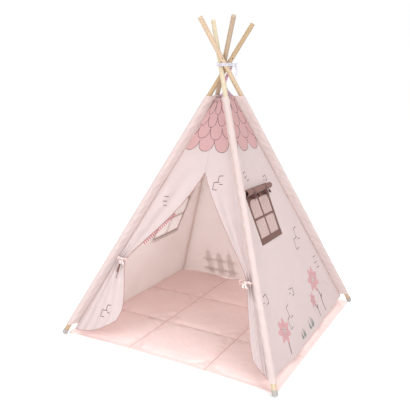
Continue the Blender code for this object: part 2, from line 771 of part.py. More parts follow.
def make_lashing(poles, stuff):
    """The cord wound round the crossing poles, and its bow.

    The turns lie on the outline of the poles over the whole fold, so no pole
    presses through them.
    """
    pitch = CORD_DIA + CORD_PITCH_GAP
    rise = CORD_TURNS * pitch
    low = PASS_HEIGHT - rise / 2
    reach = rise / 2 + CORD_DIA
    spots = []
    for pole in poles.values():
        for fold in np.linspace(0, FOLD_DEG, 5):
            d = pole.swung(fold)
            for height in (-reach, 0.0, reach):
                centre = pole.passing + d * height / d[2]
                lean = d[:2] / d[2]
                long = POLE_DIA / 2 * np.hypot(1, np.linalg.norm(lean))
                u = pole.inward[:2]
                w = np.array([-u[1], u[0]])
                for a in np.linspace(0, 2 * np.pi, 24, endpoint=False):
                    spots.append(centre[:2] + u * long * np.cos(a) + w * POLE_DIA / 2 * np.sin(a))
    outline = hull(spots)
    middle = outline.mean(axis=0)
    off = CORD_DIA / 2 + CORD_CLEAR
    start = np.radians(BOW_TURN)
    lead = np.radians(13)
    total = 2 * np.pi * CORD_TURNS - 2 * lead

    def taut(angle, more=0.0):
        n = np.array([np.cos(angle), np.sin(angle)])
        return outline[np.argmax(outline @ n)] + n * (off + more)

    count = 24 * CORD_TURNS
    points = []
    for k in range(count + 1):
        angle = start + lead + total * k / count
        height = low + rise * k / count
        points.append([*taut(angle), height])
    points = np.array(points)
    n = np.array([np.cos(start), np.sin(start)])
    across = np.array([-n[1], n[0]])
    knot = 2.1 * CORD_DIA
    near, face = taut(start, CORD_DIA * 1.15), taut(start, CORD_DIA * 1.7)
    ends = []
    for way, height in ((1, points[0][2]), (-1, points[-1][2])):
        middle = PASS_HEIGHT + (height - PASS_HEIGHT) * 0.54
        ends.append([
            [*(face + across * way * knot * 0.3), middle],
            [*(near + across * way * knot * 0.5), height + (middle - height) * 0.12],
        ])
    path = np.vstack([ends[0], points, ends[1][::-1]])
    verts, faces = swept(path, [CORD_DIA] * len(path), [CORD_DIA] * len(path), UP, 6)
    mesh_object("lashing_cord", verts, faces, stuff["cord"])
    # the least gap of the winding to itself, between points over a third of a turn apart
    least = 1.0
    for k in range(len(path)):
        rest = path[k + 8:]
        if len(rest):
            least = min(least, float(np.linalg.norm(rest - path[k], axis=1).min()))
    print("lashing, least gap to itself: %.2f mm" % (1000 * (least - CORD_DIA)))
    length = float(np.linalg.norm(np.diff(path, axis=0), axis=1).sum())
    print("lashing, wound length: %.3f m" % length)
    spot = np.array([*(face + n * (knot * 0.84 + FIT)), PASS_HEIGHT])
    side = np.array([*across, 0.0])
    ribbon_bow(
        "lashing_bow", spot, side, UP, np.array([*n, 0.0]),
        8.4 * CORD_DIA, 0.88 * CORD_DIA, 0.88 * CORD_DIA, knot, stuff["cord"], 10 * CORD_DIA, round_sides=6)
    return taut, low


def make_strap(peak, lashing, stuff):
    """A hanging strap from the back wall's peak up to the lashing."""
    taut, low = lashing
    angle = np.radians(75)
    top = np.array([*taut(angle, -0.0005), low - CORD_DIA / 2 - FIT * 4])
    start = peak + UP * (STRAP_CLOTH / 2 + FIT)
    n = np.array([np.cos(angle), np.sin(angle), 0.0])
    run = top - start
    way = [start + np.array([run[0] * x, run[1] * x, run[2] * z])
           for x, z in ((0, 0), (0.22, 0.35), (0.62, 0.70), (1, 1))]
    path = smooth_path(way, 12)
    side = np.cross(n, UP)
    count = len(path)
    mesh_object("hanging_strap", *swept(path, [STRAP_WIDTH] * count, [STRAP_CLOTH] * count, side), stuff["peak"])


def make_mat(stuff):
    """The padded mat: three by three quilted fields over a flat underside."""
    cells = 7

    def lines(size, seams):
        stops = [-size / 2, *seams, size / 2]
        spread = [np.linspace(a, b, cells, endpoint=False) for a, b in zip(stops[:-1], stops[1:], strict=True)]
        return np.concatenate([*spread, [size / 2]])

    xs, ys = lines(MAT_WIDTH, MAT_SEAMS_X), lines(MAT_DEPTH, MAT_SEAMS_Y)

    def puff(k):
        return np.sin(np.pi * (k % cells) / cells)

    count = len(xs)
    verts, faces = [], []
    cut = MAT_CORNER * (1 - 1 / np.sqrt(2))
    for i, x in enumerate(xs):
        for j, y in enumerate(ys):
            edge = i in (0, count - 1) or j in (0, count - 1)
            base = MAT_EDGE if edge else MAT_SEAM
            z = base + (MAT_CROWN - base) * (puff(i) * puff(j)) ** 0.4
            corner = i in (0, count - 1) and j in (0, count - 1)
            move = cut if corner else 0.0
            verts.append((x - np.sign(x) * move, y - np.sign(y) * move, z))
    for i in range(count - 1):
        for j in range(count - 1):
            a = i * count + j
            faces.append((a, a + count, a + count + 1, a + 1))
    rim = [i * count for i in range(count - 1)]
    rim += [(count - 1) * count + j for j in range(count - 1)]
    rim += [i * count + count - 1 for i in range(count - 1, 0, -1)]
    rim += [j for j in range(count - 1, 0, -1)]
    base = len(verts)
    verts += [(verts[k][0], verts[k][1], 0.0) for k in rim]
    for k in range(len(rim)):
        n = (k + 1) % len(rim)
        faces.append((rim[k], base + k, base + n, rim[n]))
    faces.append(tuple(base + k for k in range(len(rim) - 1, -1, -1)))
    mesh_object("floor_mat", verts, faces, stuff["mat"])


def build():
    remove_all()
    stuff = {
        "wood": material("pine", "E3C49A", 0.55),
        "steel": material("zinc_plated_steel", "B9BCC0", 0.35, 1.0),
        "cap": material("grey_plastic", "A9A49F", 0.5),
        "sleeve": material("sleeve_cotton", "F7E6E0", 0.9),
        "cover": material("cover_cotton", "F5DEDF", 0.9),
        "peak": material("shaded_cotton", "D9A9C4", 0.9),
        "net": material("window_net", "E7CFC8", 0.8),
        "frame": material("brown_cotton", "8E6A63", 0.9),
        "ribbon": material("tie_ribbon", "FAE6DF", 0.7),
        "trim": material("picot_trim", "D98F97", 0.8),
        "cord": material("white_cord", "F2F0F4", 0.8),
        "mat": material("quilted_mat", "F1CBC6", 0.9),
    }
    poles = stand_poles()
    for pole in poles.values():
        make_pole(pole, stuff)
    front = Wall(poles["front_left"], poles["front_right"])
    right = Wall(poles["front_right"], poles["back_right"])
    back = Wall(poles["back_right"], poles["back_left"])
    left = Wall(poles["back_left"], poles["front_left"])
    window_wall("wall_right", right, "right", stuff)
    window_wall("wall_left", left, "left", stuff)
    peak = plain_wall("wall_back", back, stuff)
    for side, pole in (("left", poles["front_left"]), ("right", poles["front_right"])):
        front_half("front_" + side, front, side, stuff)
        door_tie(side, front, pole, stuff)
    make_trim(front, stuff)
    lashing = make_lashing(poles, stuff)
    make_strap(peak, lashing, stuff)
    make_mat(stuff)
    for pole in poles.values():
        print(pole.corner, "pivot", np.round(pole.passing, 6), "axis", np.round(np.cross(pole.inward, UP), 6))
    bpy.context.view_layer.update()


build()
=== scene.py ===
# %% [markdown]
# # A child's play tent
# Four pine poles are lashed together near their tops, and a cotton cover is stretched
# between them: two side walls with windows, a back wall, and a front whose two halves are
# tied back as curtains. A quilted mat lies inside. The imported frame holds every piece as
# a plain solid of the right size. Here each one gets its looks: real folds, hems, prints
# and weave. Every new surface is worked out with numpy, as a function of two parameters.

# %% Load the fixed frame
import json

import bpy
import numpy as np
from mathutils import Matrix


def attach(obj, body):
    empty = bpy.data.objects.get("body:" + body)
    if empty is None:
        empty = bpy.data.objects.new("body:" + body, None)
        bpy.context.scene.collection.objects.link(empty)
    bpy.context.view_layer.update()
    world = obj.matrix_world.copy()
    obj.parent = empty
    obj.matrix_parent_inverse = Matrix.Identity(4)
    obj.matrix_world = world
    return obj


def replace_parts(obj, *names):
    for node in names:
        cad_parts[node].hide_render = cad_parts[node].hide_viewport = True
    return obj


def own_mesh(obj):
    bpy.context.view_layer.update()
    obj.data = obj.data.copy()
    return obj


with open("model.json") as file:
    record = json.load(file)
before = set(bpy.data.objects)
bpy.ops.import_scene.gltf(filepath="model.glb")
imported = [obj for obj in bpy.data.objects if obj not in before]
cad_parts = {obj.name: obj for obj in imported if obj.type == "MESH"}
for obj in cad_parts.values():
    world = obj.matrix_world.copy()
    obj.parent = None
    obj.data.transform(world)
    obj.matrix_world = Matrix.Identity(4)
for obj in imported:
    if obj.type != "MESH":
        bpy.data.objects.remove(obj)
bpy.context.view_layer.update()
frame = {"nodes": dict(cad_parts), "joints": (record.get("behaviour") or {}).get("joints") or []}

# %% [markdown]
# ## Small helpers
# A material is a graph of nodes. One function adds a node, sets it up and links it, and
# each kind that is used often has a short function of its own. Colours are written as
# sRGB hex, the way a colour picker shows them, and turned to linear light here, once.

# %% Colours and nodes
def srgb(text):
    """Linear colour of a hex sRGB colour: below 0.04045 a straight line, above it a power curve."""
    c = np.array([int(text[i:i + 2], 16) for i in (0, 2, 4)]) / 255
    c = np.where(c <= 0.04045, c / 12.92, ((c + 0.055) / 1.055) ** 2.4)
    return (*c.tolist(), 1.0)


def add(tree, kind, inputs=(), out=0, **settings):
    """Add a shader node and return one output; inputs gives sockets a value or another output."""
    made = tree.nodes.new("ShaderNode" + kind)
    for key, value in settings.items():
        setattr(made, key, value)
    for key, value in dict(inputs).items():
        if isinstance(value, bpy.types.NodeSocket):
            tree.links.new(value, made.inputs[key])
        else:
            made.inputs[key].default_value = value
    return made.outputs[out]


def maths(tree, operation, *values):
    return add(tree, "Math", enumerate(values), operation=operation)


def noise(tree, at, scale, detail=2.0, **more):
    return add(tree, "TexNoise", {"Vector": at, "Scale": scale, "Detail": detail, **more})


def mapped(tree, at, scale, shift=(0, 0, 0)):
    return add(tree, "Mapping", {"Vector": at, "Location": shift, "Scale": scale})


def blend(tree, share, one, other):
    """Two numbers or two colours mixed, from one at a share of 0 to the other at 1."""
    if isinstance(one, tuple):
        return add(tree, "Mix", {0: share, 6: one, 7: other}, 2, data_type="RGBA")
    return add(tree, "Mix", {0: share, 2: one, 3: other}, data_type="FLOAT")


def spread(tree, value, low, high, to_low=0.0, to_high=1.0, **settings):
    """The range from low to high laid over another one, and held at its ends."""
    ends = {"From Min": low, "From Max": high, "To Min": to_low, "To Max": to_high}
    return add(tree, "MapRange", {"Value": value, **ends}, **settings)


def raised(tree, height, strength, distance, **over):
    """A height as bump; over may give the Normal of a bump below it."""
    return add(tree, "Bump", {"Height": height, "Strength": strength, "Distance": distance, **over})


def feed(tree, node, **outputs):
    """Link outputs to a node's sockets; Base_Color stands for the socket "Base Color"."""
    for key, value in outputs.items():
        tree.links.new(value, node.inputs[key.replace("_", " ")])


def finish(name, colour, roughness, **constants):
    """A new material: its tree and its Principled shader, with constants set on the sockets."""
    made = bpy.data.materials.new(name)
    made.use_nodes = True
    tree = made.node_tree
    shader = tree.nodes["Principled BSDF"]
    shader.inputs["Base Color"].default_value = srgb(colour)
    shader.inputs["Roughness"].default_value = roughness
    for key, value in constants.items():
        shader.inputs[key.replace("_", " ")].default_value = value
    return made, tree, shader


# %% [markdown]
# A grid of points becomes a mesh by joining each point to its neighbours. All faces are
# found at once from the grid's indices. A cloth is two such skins with a wall along each
# open edge, and a cord or ribbon is an outline carried along a path.

# %% Grids, shells and sweeps
def unit(v):
    return v / np.linalg.norm(v, axis=-1, keepdims=True)


def circle(a):
    """Flat unit vectors at angles."""
    return np.stack([np.cos(a), np.sin(a)], axis=-1)


def crossed(a, b):
    """Two arrays that give every pair of a value of a and a value of b."""
    return np.meshgrid(a, b, indexing="ij")


def pairs(a, b):
    """Rows of two numbers from two grids of the same shape, or of shapes that spread to one."""
    return np.stack(np.broadcast_arrays(a, b), axis=-1).reshape(-1, 2)


def grid_faces(nu, nv, ring=False, start=0):
    """Quads of a grid whose outer side is (first direction) x (second); a ring closes the second."""
    i, j = crossed(np.arange(nu - 1), np.arange(nv if ring else nv - 1))
    k = (j + 1) % nv
    quads = np.stack([i * nv + j, (i + 1) * nv + j, (i + 1) * nv + k, i * nv + k], axis=-1)
    return quads.reshape(-1, 4) + start


def joined(parts):
    """Several (points, faces) as one, the faces' numbers moved on."""
    shift = np.cumsum([0] + [len(p[0]) for p in parts[:-1]])
    return np.concatenate([p[0] for p in parts]), np.concatenate([p[1] + s for p, s in zip(parts, shift)])


def piece(name, points, faces, stuff, places=None, normals=None, material_of=None, sharp=40):
    """A mesh object at the origin. A face whose last two numbers are equal is a triangle.

    places are the cloth's own coordinates in metres, kept as the UV map "cloth".
    """
    triangle = faces[:, 2] == faces[:, 3]
    loops = faces[~np.stack([np.zeros(len(faces), bool)] * 3 + [triangle], axis=1)]
    sizes = np.where(triangle, 3, 4)
    mesh = bpy.data.meshes.new(name)
    mesh.vertices.add(len(points))
    mesh.vertices.foreach_set("co", np.asarray(points, np.float32).ravel())
    mesh.loops.add(len(loops))
    mesh.loops.foreach_set("vertex_index", loops.astype(np.int32))
    mesh.polygons.add(len(faces))
    mesh.polygons.foreach_set("loop_start", np.concatenate([[0], np.cumsum(sizes)[:-1]]).astype(np.int32))
    mesh.polygons.foreach_set("loop_total", sizes.astype(np.int32))
    for m in stuff if isinstance(stuff, (list, tuple)) else [stuff]:
        mesh.materials.append(m)
    if material_of is not None:
        mesh.polygons.foreach_set("material_index", material_of.astype(np.int32))
    if places is not None:
        layer = mesh.uv_layers.new(name="cloth")
        layer.data.foreach_set("uv", np.asarray(places, np.float32)[loops].ravel())
    mesh.update(calc_edges=True)
    mesh.validate()
    mesh.shade_smooth()
    if normals is None:
        mesh.set_sharp_from_angle(angle=np.radians(sharp))
    else:
        mesh.normals_split_custom_set(normals[loops].tolist())
    made = bpy.data.objects.new(name, mesh)
    bpy.context.scene.collection.objects.link(made)
    return made


def normals_of(grid):
    return unit(np.cross(np.gradient(grid, axis=0), np.gradient(grid, axis=1)))


def shell(middle, thickness, keep=None, normal=None):
    """Points, faces, inner-skin flags and grid numbers of a cloth: middle +- normal x half the thickness.

    thickness may differ from point to point. keep leaves cells of the grid out.
    """
    nu, nv = middle.shape[:2]
    normal = normals_of(middle) if normal is None else normal
    half = np.broadcast_to(np.asarray(thickness, float), (nu, nv))[..., None] / 2
    points = np.concatenate([middle + normal * half, middle - normal * half]).reshape(-1, 3)
    cells = np.ones((nu - 1, nv - 1), bool) if keep is None else keep
    every = grid_faces(nu, nv)
    outer = every[cells.ravel()]
    every = every.reshape(nu - 1, nv - 1, 4)
    inner = outer[:, ::-1] + nu * nv
    # a cell whose neighbour is missing gets a wall on that side
    beside = np.pad(cells, 1)
    beside = [beside[1:-1, :-2], beside[2:, 1:-1], beside[1:-1, 2:], beside[:-2, 1:-1]]
    rims = []
    for k, there in enumerate(beside):
        p, q = (every[cells & ~there][:, corner % 4] for corner in (k, k + 1))
        rims.append(np.stack([p, p + nu * nv, q + nu * nv, q], axis=1))
    rim = np.concatenate(rims)
    faces = np.concatenate([outer, inner, rim])
    kind = np.concatenate([np.zeros(len(outer)), np.ones(len(inner)), np.zeros(len(rim))])
    used, numbers = np.unique(faces, return_inverse=True)
    return points[used], numbers.reshape(faces.shape), kind, used % (nu * nv)


def tube(rings, middles, inward=False):
    """Rings of points joined to a closed body, with a fan round a middle point at each end."""
    n, m = rings.shape[:2]
    k = np.arange(m)
    near = np.stack([(k + 1) % m, k, np.full(m, n * m), np.full(m, n * m)], axis=1)
    far = near[:, [1, 0, 2, 3]] + [(n - 1) * m, (n - 1) * m, 1, 1]
    sides, fans = grid_faces(n, m, ring=True), np.concatenate([near, far])
    faces = [sides, fans[:, [1, 0, 2, 3]]] if inward else [sides[:, ::-1], fans]
    return np.concatenate([rings.reshape(-1, 3), middles]), np.concatenate(faces)


def sweep(path, outline, side, scale=1.0, twist=0.0):
    """Points and faces of an outline (across, up) carried along a path.

    The across direction follows side, which may be one vector or one for each point.
    scale and twist may differ along the path.
    """
    way = unit(np.gradient(path, axis=0))
    side = np.broadcast_to(np.asarray(side, float), path.shape)
    across = unit(side - way * (side * way).sum(-1, keepdims=True))
    up = np.cross(way, across)
    turn = np.broadcast_to(np.asarray(twist, float), len(path))[:, None]
    size = np.broadcast_to(np.asarray(scale, float), len(path))[:, None]
    x = (outline[:, 0] * np.cos(turn) - outline[:, 1] * np.sin(turn)) * size
    y = (outline[:, 0] * np.sin(turn) + outline[:, 1] * np.cos(turn)) * size
    rings = path[:, None] + across[:, None] * x[..., None] + up[:, None] * y[..., None]
    return tube(rings, rings[[0, -1]].mean(axis=1))


def swept_places(across, run):
    """The cloth coordinates of a sweep: across its outline, and the distance along its path."""
    rows = np.stack([np.tile(across, len(run)), np.repeat(run, len(across))], axis=1)
    return np.vstack([rows, [[0, 0], [0, run[-1]]]])


def lathe(radius, height, sides=64):
    """Points and faces of a profile turned about Z; its first and last radius are 0."""
    a = np.linspace(0, 2 * np.pi, sides, endpoint=False)
    r, h = np.asarray(radius, float)[1:-1, None], np.asarray(height, float)[1:-1, None]
    rings = np.stack([r * np.cos(a), r * np.sin(a), h + 0 * a], axis=-1)
    return tube(rings, [[0, 0, height[0]], [0, 0, height[-1]]])


def ease(t):
    """0 before 0, 1 after 1, and a smooth S between."""
    t = np.clip(t, 0, 1)
    return t * t * (3 - 2 * t)


def hump(t):
    """0 at 0 and at 1, and 1 half-way between: half a sine wave."""
    return np.sin(np.pi * t)


def bell(x):
    """1 at 0, and next to nothing beyond 2 on either side."""
    return np.exp(-x ** 2)


def run_of(line):
    """The distance along a line to each of its points."""
    return np.concatenate([[0], np.cumsum(np.linalg.norm(np.diff(line, axis=0), axis=1))])


def at_runs(line, places):
    """Points of a line at distances along it."""
    run = run_of(line)
    return np.stack([np.interp(places, run, line[:, k]) for k in range(line.shape[1])], axis=-1)


def smooth_path(points, count):
    """A smooth curve (Catmull-Rom) through points, in count even steps."""
    q = np.asarray(points, float)
    q = np.vstack([2 * q[0] - q[1], q, 2 * q[-1] - q[-2]])
    t = np.linspace(0, 1, 32, endpoint=False)[:, None, None]
    a, b, c, d = q[:-3], q[1:-2], q[2:-1], q[3:]
    runs = 2 * b + (c - a) * t + (2 * a - 5 * b + 4 * c - d) * t ** 2 + (3 * b - 3 * c + d - a) * t ** 3
    fine = np.vstack([0.5 * runs.transpose(1, 0, 2).reshape(-1, q.shape[1]), q[-2]])
    return at_runs(fine, np.linspace(0, run_of(fine)[-1], count))


def rounded(width, height, count=12, power=2.6):
    """A closed flat outline: an oval whose sides are a little straightened."""
    shape = circle(np.linspace(0, 2 * np.pi, count, endpoint=False))
    return np.sign(shape) * np.abs(shape) ** (2 / power) * [width / 2, height / 2]


# %% [markdown]
# ## Camera, light and floor
# The camera stands where the photograph was taken from: a little to the right of the
# door and a bit above it. The picture's background is plain white, so camera rays that
# meet nothing see white, while the lamps stay gentle enough that a pale cloth still
# shows its own colour. The floor is pale too and keeps the tent's soft shadow.

# %% Camera
TURN, LIFT, ROLL = np.radians([28.85, 13.52, 0.549])
AWAY = 3.0961                # metres from the target
TARGET = np.array([-0.0848, 0.0, 0.6418])
LENS, SENSOR = 49.44, 36
UP = np.array([0.0, 0.0, 1.0])


def placing(x, y, z, place):
    """The matrix of an object whose own directions are x, y and z, at a place."""
    return Matrix([[*row, p] for row, p in zip(np.stack([x, y, z], axis=1), place)] + [[0, 0, 0, 1]])


back = np.array([np.sin(TURN) * np.cos(LIFT), -np.cos(TURN) * np.cos(LIFT), np.sin(LIFT)])
level = unit(np.cross(UP, back))
upright = np.cross(back, level)
right, top = np.cos(ROLL) * level + np.sin(ROLL) * upright, np.cos(ROLL) * upright - np.sin(ROLL) * level
camera = bpy.data.objects.new("camera", bpy.data.cameras.new("camera"))
camera.data.lens, camera.data.sensor_width = LENS, SENSOR
camera.matrix_world = placing(right, top, back, TARGET + back * AWAY)
bpy.context.scene.collection.objects.link(camera)
bpy.context.scene.camera = camera
bpy.context.scene.view_settings.view_transform = "Standard"
print("camera at", np.round(TARGET + back * AWAY, 3))

# %% World, lamps and floor
WORLD_LIGHT = 0.62
WHITE = (1, 1, 1, 1)
PAPER = "F2F2F2"
FLOOR_HALF, FLOOR_LEVEL = 14.0, -0.0005
FLOOR_FADE = (0.9, 2.6)      # distances between which the floor turns plain white
NEAR_GLOW, FAR_GLOW = 0.22, 0.78


def lamp(name, place, aim, size, watts, colour="FFFFFF"):
    """A square soft box at a place, turned to what it lights."""
    light = bpy.data.lights.new(name, "AREA")
    light.shape, light.size, light.energy, light.color = "SQUARE", size, watts, srgb(colour)[:3]
    made = bpy.data.objects.new(name, light)
    z = unit(np.array(place, float) - aim)
    x = unit(np.cross(UP, z))
    made.matrix_world = placing(x, np.cross(z, x), z, place)
    bpy.context.scene.collection.objects.link(made)


lamp("key", (-1.2, -4.4, 2.6), (0, 0, 0.5), 2.6, 72, "FDFBFF")
lamp("fill", (4.2, -2.2, 2.2), (0, 0, 0.6), 2.6, 84, "FAFAFF")
lamp("low", (1.2, -4.2, 0.9), (-0.1, 0, 0.3), 1.2, 38, "FDFBFF")
lamp("back", (-3.2, 3.4, 2.6), (0, 0, 0.6), 2.6, 175)
lamp("top", (0.4, 0.6, 4.6), (0, 0, 0.6), 2.6, 60)

world = bpy.data.worlds.new("studio")
bpy.context.scene.world = world
world.use_nodes = True
tree = world.node_tree
kinds = [add(tree, "LightPath", out="Is %s Ray" % kind) for kind in ("Camera", "Glossy", "Transmission")]
seen = maths(tree, "MAXIMUM", maths(tree, "MAXIMUM", *kinds[:2]), kinds[2])
feed(tree, tree.nodes["Background"], Strength=spread(tree, seen, 0.0, 1.0, WORLD_LIGHT, 1.0))
tree.nodes["Background"].inputs["Color"].default_value = WHITE

# near the tent the floor takes light and shadow; further out, camera rays see it plain white
paper, tree, shader = finish("white_paper_floor", PAPER, 0.9, Specular_IOR_Level=0.2)
seen = add(tree, "LightPath", out="Is Camera Ray")
far = add(tree, "VectorMath", {0: add(tree, "TexCoord", out="Object")}, "Value", operation="LENGTH")
far = maths(tree, "MULTIPLY", spread(tree, far, *FLOOR_FADE, interpolation_type="SMOOTHSTEP"), seen)
glow = maths(tree, "MULTIPLY_ADD", far, FAR_GLOW, maths(tree, "MULTIPLY", seen, NEAR_GLOW))
shader.inputs["Emission Color"].default_value = WHITE
feed(tree, shader, Base_Color=blend(tree, far, srgb(PAPER), srgb("000000")), Emission_Strength=glow)
a = np.linspace(-FLOOR_HALF, FLOOR_HALF, 9)
ground = np.stack([*crossed(a, a), np.full((9, 9), FLOOR_LEVEL)], axis=-1)
piece("floor", ground.reshape(-1, 3), grid_faces(9, 9), paper)

# %% [markdown]
# ## Finishes
# The cover is plain-woven cotton, about twelve threads to the centimetre, dyed a very
# pale pink and lined in cream. A weave that fine would vanish at this distance, so it is
# drawn about three times as coarse, with slubs that make the thread thickness uneven.
# Cotton scatters light at a low angle, which the sheen gives, and it has no gloss.

# %% Woven cloth
THREAD = 0.0026              # spacing of the drawn threads; the real one is near 0.8 mm
THREAD_HEIGHT = 0.0004
DYE_SCALE, CREASE_SCALE = 7.0, 13.0
SLUBS = (260, 18, 1)         # slubs to a metre: across the threads, and along them


def threads(tree, cloth, spacing, wave):
    """A wave across the cloth and one along it, a crest to each thread."""
    ways = [add(tree, "SeparateXYZ", {0: cloth}, axis) for axis in (0, 1)]
    return [maths(tree, wave, maths(tree, "MULTIPLY", way, 2 * np.pi / spacing)) for way in ways]


def woven(name, colour, other, roughness=0.92, thread=THREAD, bump=0.25, mottle=0.35, sheen=0.25,
          through=0.0, crease=0.0, passed=None):
    """Cotton cloth: crossed threads as bump, uneven dye as colour, on the UV map "cloth".

    through is the share of light that a thin cloth lets pass and scatter on its other side,
    and passed its colour, where that light goes between the threads and isn't dyed by them.
    crease is the depth in metres of the soft wrinkles that run over the cloth.
    """
    made, tree, shader = finish(name, colour, roughness, Sheen_Weight=sheen, Sheen_Roughness=0.5,
                                Specular_IOR_Level=0.25)
    cloth = add(tree, "UVMap", uv_map="cloth")
    dye = noise(tree, cloth, DYE_SCALE, 5.0, Roughness=0.6)
    slub = noise(tree, mapped(tree, cloth, SLUBS), 1.0)
    uneven = spread(tree, blend(tree, 0.4, dye, slub), 0.35, 0.65, 0.0, mottle)
    tone = blend(tree, uneven, srgb(colour), srgb(other))
    weave = maths(tree, "MULTIPLY", *threads(tree, cloth, thread, "SINE"))
    relief = raised(tree, maths(tree, "MULTIPLY_ADD", slub, 0.6, weave), bump, THREAD_HEIGHT)
    if crease:
        rumple = noise(tree, cloth, CREASE_SCALE, 3.0, Distortion=1.1)
        relief = raised(tree, rumple, 1.0, crease, Normal=relief)
    feed(tree, shader, Base_Color=tone, Normal=relief)
    if through:
        passing = {"Color": srgb(passed) if passed else tone, "Normal": relief}
        both = {0: through, 1: shader.outputs[0], 2: add(tree, "BsdfTranslucent", passing)}
        feed(tree, tree.nodes["Material Output"], Surface=add(tree, "MixShader", both))
    return made


def printed(name, colour, other, **more):
    """Ink on cotton: a little smoother than the cloth, with less sheen."""
    return woven(name, colour, other, **{"roughness": 0.85, "sheen": 0.1, **more})


cover_cotton = woven("cover_cotton_plain_woven", "E7DBDA", "DFD0CF", through=0.40, crease=0.0022)
lining_cotton = woven("cream_cotton_lining", "F9F4F0", "F2EAE5", through=0.40)
sleeve_cotton = woven("sleeve_cotton_plain_woven", "E5D5D1", "DDC6C0", mottle=0.5, through=0.2)
mat_cotton = woven("mat_cotton_quilted", "FDE4DF", "F8D7D2", mottle=0.5, crease=0.004)
mat_seam = woven("mat_cotton_seam_shadow", "E2B7B0", "D8A8A0", mottle=0.5)
seam_cotton = woven("salmon_seam_binding", "FCE6DC", "F6D8CC", through=0.3)
frame_cotton = woven("brown_cotton_twill", "785246", "68443A", bump=0.4, mottle=0.7, through=0.2,
                     passed="E4D0C8")
roll_cotton = woven("brown_cotton_rolled", "875F56", "704A40", bump=0.4, mottle=0.8)
dark_ribbon = woven("dark_brown_cotton_tape", "5E3B3A", "4A2C2C", bump=0.4)
ribbon_cotton = woven("cream_cotton_tape", "F4E0DB", "EACFC8", bump=0.3)
# the strap's lilac is painted shade: the rose cloth as it looks in shade
strap_cotton_painted_shade = woven("rose_cotton_strap_painted_lilac_shade", "EFCBE0", "E4BAD3", through=0.3)
edging_cotton_and_fold_shade = woven("picot_lace_edging_and_fold_shade", "C08C8A", "AE7676", bump=0.4)
# the edging tape's dark rose is partly its own colour and partly painted shade of the fold at the curtain's
# edge
bead_cotton = woven("picot_stitch_beads", "C2606F", "B4505F", bump=0.4)
# the edge binding's rose-brown is partly its own colour and partly painted shade of the turned edge
binding_cotton_and_fold_shade = woven("rose_brown_edge_binding_and_fold_shade", "B98F8C", "A67B79", bump=0.4)
ink_line = printed("dark_print_on_cotton", "6F5054", "7D5F62")
ink_rose = printed("pink_print_on_cotton", "D1A1A2", "C79596")
ink_dark = printed("umber_print_on_cotton", "6B534D", "7A615B")
ink_brown = printed("brown_print_on_cotton", "8C6258", "7C544B")
ink_green = printed("grey_green_print_on_cotton", "8C8F8A", "7A7E79")
# broad prints are thin, so light passes them
thin = dict(roughness=0.88, sheen=0.15)
ink_roof = printed("rose_print_on_cotton", "D8B0AE", "CFA09F", through=0.2, **thin)
# the peak's lilac is painted shade: the rose print as it looks in shade
ink_peak_painted_shade = printed("rose_print_painted_lilac_shade", "FADBED", "F2CDE2", through=0.3, **thin)
ink_grey = printed("pale_grey_print_on_cotton", "D4CECB", "CBC4C0", through=0.84, passed="FCFAF9", **thin)
# a darker copy of a print, laid on the lining: painted shadow of the print that light through the cloth shows
ink_painted_print_shadow = woven("print_seen_through_lining", "E4DDD9", "DCD4D0", roughness=0.9, through=0.65,
                  passed="FBF8F6")

# %% [markdown]
# The window net is an open mesh of fine threads, so most of it is air. Its holes are cut
# with transparency: a thread shows where either of two rows of lines is near its crest.
# Pine is cut along its rings, so a turned pole shows long pale fibres with soft amber
# streaks. The caps are moulded soft plastic, and the connector is a drawn steel tube.

# %% Net, pine, plastic, steel and cord
NET_PITCH = 0.0022
NET_SOLID = (0.50, 0.95)     # in a hole, whose hairs still veil what is behind, and on a thread
THREAD_EDGE = (0.1, 0.5)     # where a thread's wave begins to show, and where it shows in full
RING_SCALE, RING_STRETCH, FIBRES = 42.0, (1, 1, 0.035), (110, 110, 5)
GRIT_HEIGHT = 0.0003

window_net, tree, shader = finish("white_polyester_net", "E3CFC9", 0.6, Sheen_Weight=0.2)
cloth = add(tree, "UVMap", uv_map="cloth")
crest = maths(tree, "MAXIMUM", *threads(tree, cloth, NET_PITCH, "COSINE"))
solid = spread(tree, crest, *THREAD_EDGE, *NET_SOLID)
tone = blend(tree, noise(tree, cloth, 9.0), srgb("D6C0BA"), srgb("CCB5B0"))
feed(tree, shader, Base_Color=tone)
passing = add(tree, "BsdfTranslucent", {"Color": tone})
thread = add(tree, "MixShader", {0: 0.45, 1: shader.outputs[0], 2: passing})
thread = add(tree, "MixShader", {0: solid, 1: add(tree, "BsdfTransparent"), 2: thread})
feed(tree, tree.nodes["Material Output"], Surface=thread)


def pine(name, colour, streak, shift):
    """Turned pine: growth rings round an axis beside the pole, fibres drawn out lengthwise."""
    made, tree, shader = finish(name, colour, 0.5, Specular_IOR_Level=0.4, Coat_Weight=0.06,
                                Coat_Roughness=0.4)
    grain = add(tree, "Attribute", out="Vector", attribute_name="grain")
    moved = mapped(tree, grain, RING_STRETCH, shift)
    wave = {"Vector": moved, "Scale": RING_SCALE, "Distortion": 5.0, "Detail": 3.0, "Detail Scale": 1.5}
    rings = add(tree, "TexWave", wave, "Fac", wave_type="RINGS", rings_direction="Z")
    fibre = noise(tree, mapped(tree, grain, FIBRES), 1.0, 4.0)
    mixed = blend(tree, 0.35, blend(tree, 0.25, rings, fibre), noise(tree, moved, 30.0, 3.0))
    tone = blend(tree, spread(tree, mixed, 0.30, 0.72), srgb(colour), srgb(streak))
    feed(tree, shader, Base_Color=tone, Roughness=spread(tree, fibre, 0.0, 1.0, 0.42, 0.62),
         Normal=raised(tree, mixed, 0.05, GRIT_HEIGHT))
    return made


